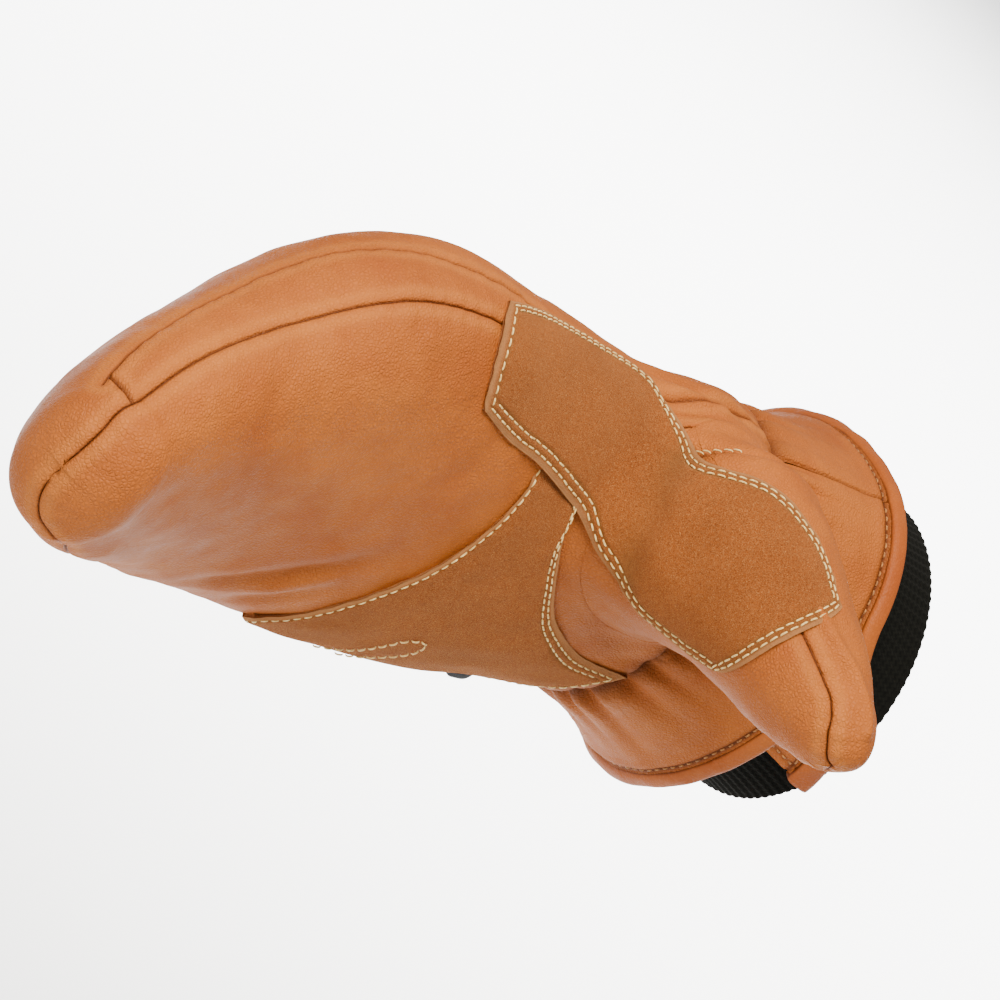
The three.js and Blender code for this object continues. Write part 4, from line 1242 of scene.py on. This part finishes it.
halfGap = walls["gap"] / 2
leatherShare = bindingShare - walls["gap"] / cuffLength
cuffTuck = 2.6
hemStitches = 1.3
slitStitches = 2.6
cuffEdge = {**seamEdge, "depth": 0.7, "valley": 0.2, "pucker": 0.1}
cuffForm = {
    "roll": 3.0, "rollWidth": 9, "tuckDrop": 0.7, "pleatFade": 9, "longShare": 0.12, "longFade": 30,
    "wave": 0.6, "waveLength": 34, "groove": 0.75, "grooveWidth": 0.9, "bead": 0.3, "beadAt": 4.2,
    "beadWidth": 1.6,
}


# A cuff piece starts tucked under the hand's leather. It lies between two edges, pleated at the gather,
# pressed along its seams and above the hem binding.
def makeCuff(name, place, fromDegrees, toDegrees, columns, node, pleat, stitchedEdge=None):
    tucked = np.linspace(-cuffTuck / cuffLength, 0, 5)[:-1]
    share = np.concatenate([tucked, np.linspace(0, leatherShare, 74)])[:, None]
    across = crowded(columns, 0.3)[None]
    degrees = fromDegrees(share) * (1 - across) + toDegrees(share) * across
    base = place(share, degrees, 0.0)
    normals = gridNormals(base)
    normals *= outwardSign(base, normals, "wrist")
    apart = edgeDistances(base)
    fromWrist = np.maximum(apart["firstRow"] - cuffTuck, 0)
    inside = np.clip(1 - fromWrist / cuffForm["rollWidth"], 0, 1)
    relief = -cuffForm["roll"] * (1 - np.sqrt(1 - inside**2))
    relief = relief - cuffForm["tuckDrop"] * smoothStep(cuffTuck - apart["firstRow"], 0, 1)
    longFade = cuffForm["longShare"] * np.exp(-fromWrist / cuffForm["longFade"])
    depth = pleat * (np.exp(-fromWrist / cuffForm["pleatFade"]) + longFade)
    relief = relief + depth * pleats(degrees) * smoothStep(fromWrist, -3, 4)
    inMiddle = smoothStep(fromWrist, 4, 20) * smoothStep(apart["lastRow"], 0, 12)
    relief = relief + cuffForm["wave"] * softWaves(base, cuffForm["waveLength"], 8) * inMiddle
    groove = np.exp(-(((apart["lastRow"] - hemStitches) / cuffForm["grooveWidth"]) ** 2))
    bead = np.exp(-(((apart["lastRow"] - cuffForm["beadAt"]) / cuffForm["beadWidth"]) ** 2))
    relief = relief - cuffForm["groove"] * groove + cuffForm["bead"] * bead
    dark = np.maximum(0.9 * groove, 0.8 * np.exp(-fromWrist / 3.0))
    for edge in ("firstColumn", "lastColumn"):
        if edge == stitchedEdge:
            press = np.exp(-(((apart[edge] - slitStitches) / 0.7) ** 2))
            relief = relief - 0.3 * press
            dark = np.maximum(dark, 0.45 * press)
        else:
            relief = relief + seamRelief(apart[edge], apart["firstRow"], cuffEdge)
            dark = np.maximum(dark, 0.5 * np.exp(-((apart[edge] / 0.4) ** 2)))
    light = 0.25 * smoothStep(pleats(degrees), 0.2, 1) * np.exp(-fromWrist / 12)
    grid = base + normals * relief[..., None]
    shades = {"seamDarkAndPaintedShade": dark, "edgeShade": light}
    makeWall(
        name, grid, walls["leather"], "wrist", shades=shades, material=tanGrain, slot="grain_leather",
        node=node,
    )
    cuffRuns.append(insetLine(grid, normals, "lastRow", hemStitches, 1.0 if node == "cuff_back" else 2.0))
    return grid, normals


# The cuff's edges as angles round the wrist, at a share of its length
def littleEdge(share):
    return cuffSeams["littleSide"] + 0 * share


def thumbEdge(share):
    return cuffSeams["thumbSide"] + 0 * share


def palmFlapEdge(share):
    return slit["root"] + halfGap + (slit["palmFlapEdge"] - slit["root"]) * slitShare(share)


def thumbFlapEdge(share):
    return slit["thumbFlapEdge"] - slit["overlap"] * (1 - slitShare(share))


cuffRuns = []
backEdges = (lambda s: littleEdge(s) + halfGap, lambda s: thumbEdge(s) + 360 - halfGap)
makeCuff("cuff_back_leather", cuffPoint, *backEdges, 260, "cuff_back", 1.5)
palmEdges = (palmFlapEdge, lambda s: littleEdge(s) - halfGap)
makeCuff("cuff_palm_flap_leather", cuffPoint, *palmEdges, 120, "cuff_palm_flap", 2.6)
flapEdges = (lambda s: thumbEdge(s) + halfGap, thumbFlapEdge)
grid, normals = makeCuff(
    "cuff_thumb_flap_leather", thumbFlapPoint, *flapEdges, 150, "cuff_thumb_flap", 2.0, "lastColumn",
)
slitLine, slitNormals = insetLine(grid, normals, "lastColumn", slitStitches, 2.0)
lowerHalf = arcLength(slitLine) > slit["reach"]
cuffRuns.append((slitLine[lowerHalf], slitNormals[lowerHalf]))
makeStitches("cuff_thread", cuffRuns, 2.7, 1.8, 0.26, tanThread, "grain_leather")

# Hem binding: a folded strip carried along the hem, rounded over its edge
bindingProfile = {
    "back": [5.5, 5.1, 4.0, 2.4, 1.0, 0.2, 0.0, 0.3, 1.4, 3.2, 5.0, 5.5],
    "lift": [-0.9, 0.45, 1.05, 1.2, 0.95, 0.2, -1.0, -2.2, -2.9, -3.0, -2.6, -2.0],
}
bindingDegrees = np.linspace(slit["palmFlapEdge"], slit["thumbFlapEdge"] + 360, 460)[:, None]
profilePlace = np.linspace(0, 11, 30)[None]
profileShare = 1 - tableCurve(bindingProfile, "back", None)(profilePlace) / cuffLength
profileLift = tableCurve(bindingProfile, "lift", None)(profilePlace)
onFlap = bindingDegrees > cuffSeams["thumbSide"] + 360
flapOutline = thumbFlapPoint(profileShare, bindingDegrees - 360, profileLift)
outline = np.where(onFlap[..., None], flapOutline, cuffPoint(profileShare, bindingDegrees, profileLift))
outline = outline + 0.12 * softWaves(outline, 8, 31)[..., None] * np.array([0.3, 1, 1])
endCaps = [np.repeat(outline[[end]].mean(1, keepdims=True), outline.shape[1], 1) for end in (0, -1)]
outline = np.concatenate([endCaps[0], outline, endCaps[1]])
index = np.arange(outline.shape[0] * outline.shape[1]).reshape(outline.shape[:2])
index = np.concatenate([index, index[:, :1]], 1)
bindingShade = np.zeros(outline.shape[:2])
bindingShade[:, :2] = 0.7
shades = {"seamDarkAndPaintedShade": bindingShade, "edgeShade": 0 * bindingShade}
makeMesh(
    "hem_binding_leather", outline.reshape(-1, 3), cells(index, True), bindingGrain, "binding_leather",
    "hem_binding", shades=shades, merge=True,
)

# Knit wrist: ribs along the arm, rolled over its free end
knitEnd = {"palm": 43.5, "back": 39, "little": 44, "index": 52}
knitTube = {
    "start": -62, "inset": 0.8, "lagBack": 1.1, "lagPalm": 2.5, "ribDepth": 0.15, "lip": 1.3,
    "thick": walls["knit"] - 1.2,
}


# From inside the gather to the free end's ellipse by share^lag, the lag growing towards the palm
def knitPoint(x, degrees, lift):
    over, side = np.cos(np.radians(degrees)), np.sin(np.radians(degrees))
    lag = knitTube["lagBack"] + (knitTube["lagPalm"] - knitTube["lagBack"]) * smoothStep(-over, 0, 0.8)
    y = over * (np.where(over > 0, knitEnd["back"], knitEnd["palm"]) + lift)
    z = side * (np.where(side > 0, knitEnd["index"], knitEnd["little"]) + lift)
    start = handPoint(-walls["gap"], degrees, lift - walls["leather"] - knitTube["inset"])
    share = np.maximum((x - knitTube["start"]) / -knitTube["start"], 0) ** lag
    y = start[..., 1] + (y - start[..., 1]) * share
    z = start[..., 2] + (z - start[..., 2]) * share
    return np.stack([x + 0 * y, y, z], -1)


lip = knitTube["lip"]
lipX = -lip + lip * np.sin(np.linspace(-0.6, np.pi / 2, 8))
knitX = np.concatenate([np.linspace(knitTube["start"], -2.2, 36), lipX])[:, None]
knitDegrees = np.linspace(0, 360, knitLook["ribs"] * 6 + 1)[None, :-1]
ribs = np.cos(np.radians(knitDegrees) * knitLook["ribs"])
ribLift = knitTube["ribDepth"] * (np.abs(ribs) ** 0.6 * np.sign(ribs) - 1)
lipDrop = lip * (1 - np.sqrt(1 - np.clip((knitX + lip) / lip, 0, 1) ** 2))
wave = 0.35 * softWaves(knitPoint(knitX, knitDegrees, 0.0), 30, 41)
knitGrid = knitPoint(knitX, knitDegrees, ribLift - lipDrop + wave - 0.3)
makeWall(
    "knit_wrist_rib", knitGrid, knitTube["thick"], "wrist", closed=True, material=darkKnit, slot="rib_knit",
    node="knit_wrist",
)

# Side tab: a small folded tape with a rounded end, caught in the little-finger seam
tab = {"along": 15, "width": 10, "reach": 6.5, "spread": 1.3, "angle": 263}
tabSide = np.linspace(-1, 1, 30)[None]
tabOut = np.linspace(0, 1, 14)[:, None]
tabRoot = walls["gap"] - 0.6
tabReach = tabRoot + (tab["reach"] - tabRoot) * tabOut * (1 - np.abs(tabSide) ** 4) ** 0.5
tabThick = tab["spread"] * np.sqrt(1 - 0.85 * tabOut**2)
tabPlace = tab["along"] + tab["width"] / 2 * (1 + tabSide)
tabGrid = handPoint(tabPlace + 0 * tabOut, tab["angle"] + tabThick + 0 * tabSide, tabReach)
tabBack = handPoint(tabPlace + 0 * tabOut, tab["angle"] - tabThick + 0 * tabSide, tabReach)
tabPoints = np.concatenate([tabGrid.reshape(-1, 3), tabBack.reshape(-1, 3)])
index = np.arange(tabGrid[..., 0].size).reshape(tabGrid.shape[:2])
under = index + index.size
tabFaces = [cells(index, True), cells(under)]
for rim, turned in ((np.s_[0], False), (np.s_[-1], True), (np.s_[:, 0], True), (np.s_[:, -1], False)):
    tabFaces.append(cells(np.stack([index[rim], under[rim]]), turned))
makeMesh("side_tab_tape", tabPoints, np.concatenate(tabFaces), darkTape, "tab_tape", "side_tab")
print("cuff, knit and tab done")

# Floor, world and lights: a plain pale studio
pale = newMaterial("pale_studio_floor")
floorLook = {"Base Color": linear("#f7f7f6"), "Roughness": 0.9, "Specular IOR Level": 0.1}
floorGlow = {"Emission Color": linear("#ffffff"), "Emission Strength": 0.3}
shader = addNode(pale, "BsdfPrincipled", values={**floorLook, **floorGlow})
addNode(pale, "OutputMaterial", links={"Surface": shader.outputs[0]})
floorMesh = bpy.data.meshes.new("studio_floor")
floorSize, floorHeight = 7.0, -0.42
floorSigns = ((-1, -1), (1, -1), (1, 1), (-1, 1))
floorCorners = [(x * floorSize, y * floorSize, floorHeight) for x, y in floorSigns]
floorMesh.from_pydata(floorCorners, [], [(0, 1, 2, 3)])
floorMesh.materials.append(pale)
floor = bpy.data.objects.new("studio_floor", floorMesh)
bpy.context.collection.objects.link(floor)

world = bpy.context.scene.world or bpy.data.worlds.new("studio")
bpy.context.scene.world = world
world.use_nodes = True
world.node_tree.nodes["Background"].inputs["Color"].default_value = linear("#ffffff")
world.node_tree.nodes["Background"].inputs["Strength"].default_value = 0.42

middle = Vector((-0.15, -0.02, 0.0))
lamps = {
    "key": {"way": (-0.5, -0.25, 1.0), "far": 1.3, "size": 0.9, "power": 42, "colour": (1.0, 0.9, 0.76)},
    "fill": {"way": (-1.0, -0.8, 0.35), "far": 1.7, "size": 1.6, "power": 4, "colour": (1.0, 0.94, 0.86)},
}
for name, lamp in lamps.items():
    light = bpy.data.lights.new(name, "AREA")
    light.size = lamp["size"]
    light.energy = lamp["power"]
    light.color = lamp["colour"]
    holder = bpy.data.objects.new(name, light)
    way = Vector(lamp["way"]).normalized()
    holder.location = middle + way * lamp["far"]
    holder.rotation_euler = way.to_track_quat("Z", "Y").to_euler()
    bpy.context.collection.objects.link(holder)

# A spot keeps the floor behind the object bright and doesn't reach the object
wash = bpy.data.lights.new("floor_wash", "SPOT")
wash.energy = 1500
wash.spot_size = np.radians(92)
wash.spot_blend = 0.7
wash.shadow_soft_size = 0.3
washHolder = bpy.data.objects.new("floor_wash", wash)
washHolder.location = (1.3, 1.25, 1.6)
bpy.context.collection.objects.link(washHolder)

# Camera at the photograph's angle: turned round the object, raised, and rolled about its own axis
view = {
    "azimuth": -49.55, "elevation": 18.15, "roll": 46.89, "place": (-0.9915, -0.738, 0.374), "lens": 170,
}
azimuth, elevation, roll = (np.radians(view[key]) for key in ("azimuth", "elevation", "roll"))
flat = np.cos(elevation)
back = np.array([np.sin(azimuth) * flat, -np.cos(azimuth) * flat, np.sin(elevation)])
level = np.array([np.cos(azimuth), np.sin(azimuth), 0])
upright = np.cross(back, level)
right = np.cos(roll) * level + np.sin(roll) * upright
up = np.cos(roll) * upright - np.sin(roll) * level
cameraData = bpy.data.cameras.new("photo_view")
cameraData.lens = view["lens"]
cameraData.sensor_width = 36
cameraData.clip_start = 0.05
camera = bpy.data.objects.new("photo_view", cameraData)
rotation = Matrix([[right[i], up[i], back[i]] for i in range(3)]).to_4x4()
camera.matrix_world = Matrix.Translation(view["place"]) @ rotation
bpy.context.collection.objects.link(camera)
bpy.context.scene.camera = camera

print("scene done")
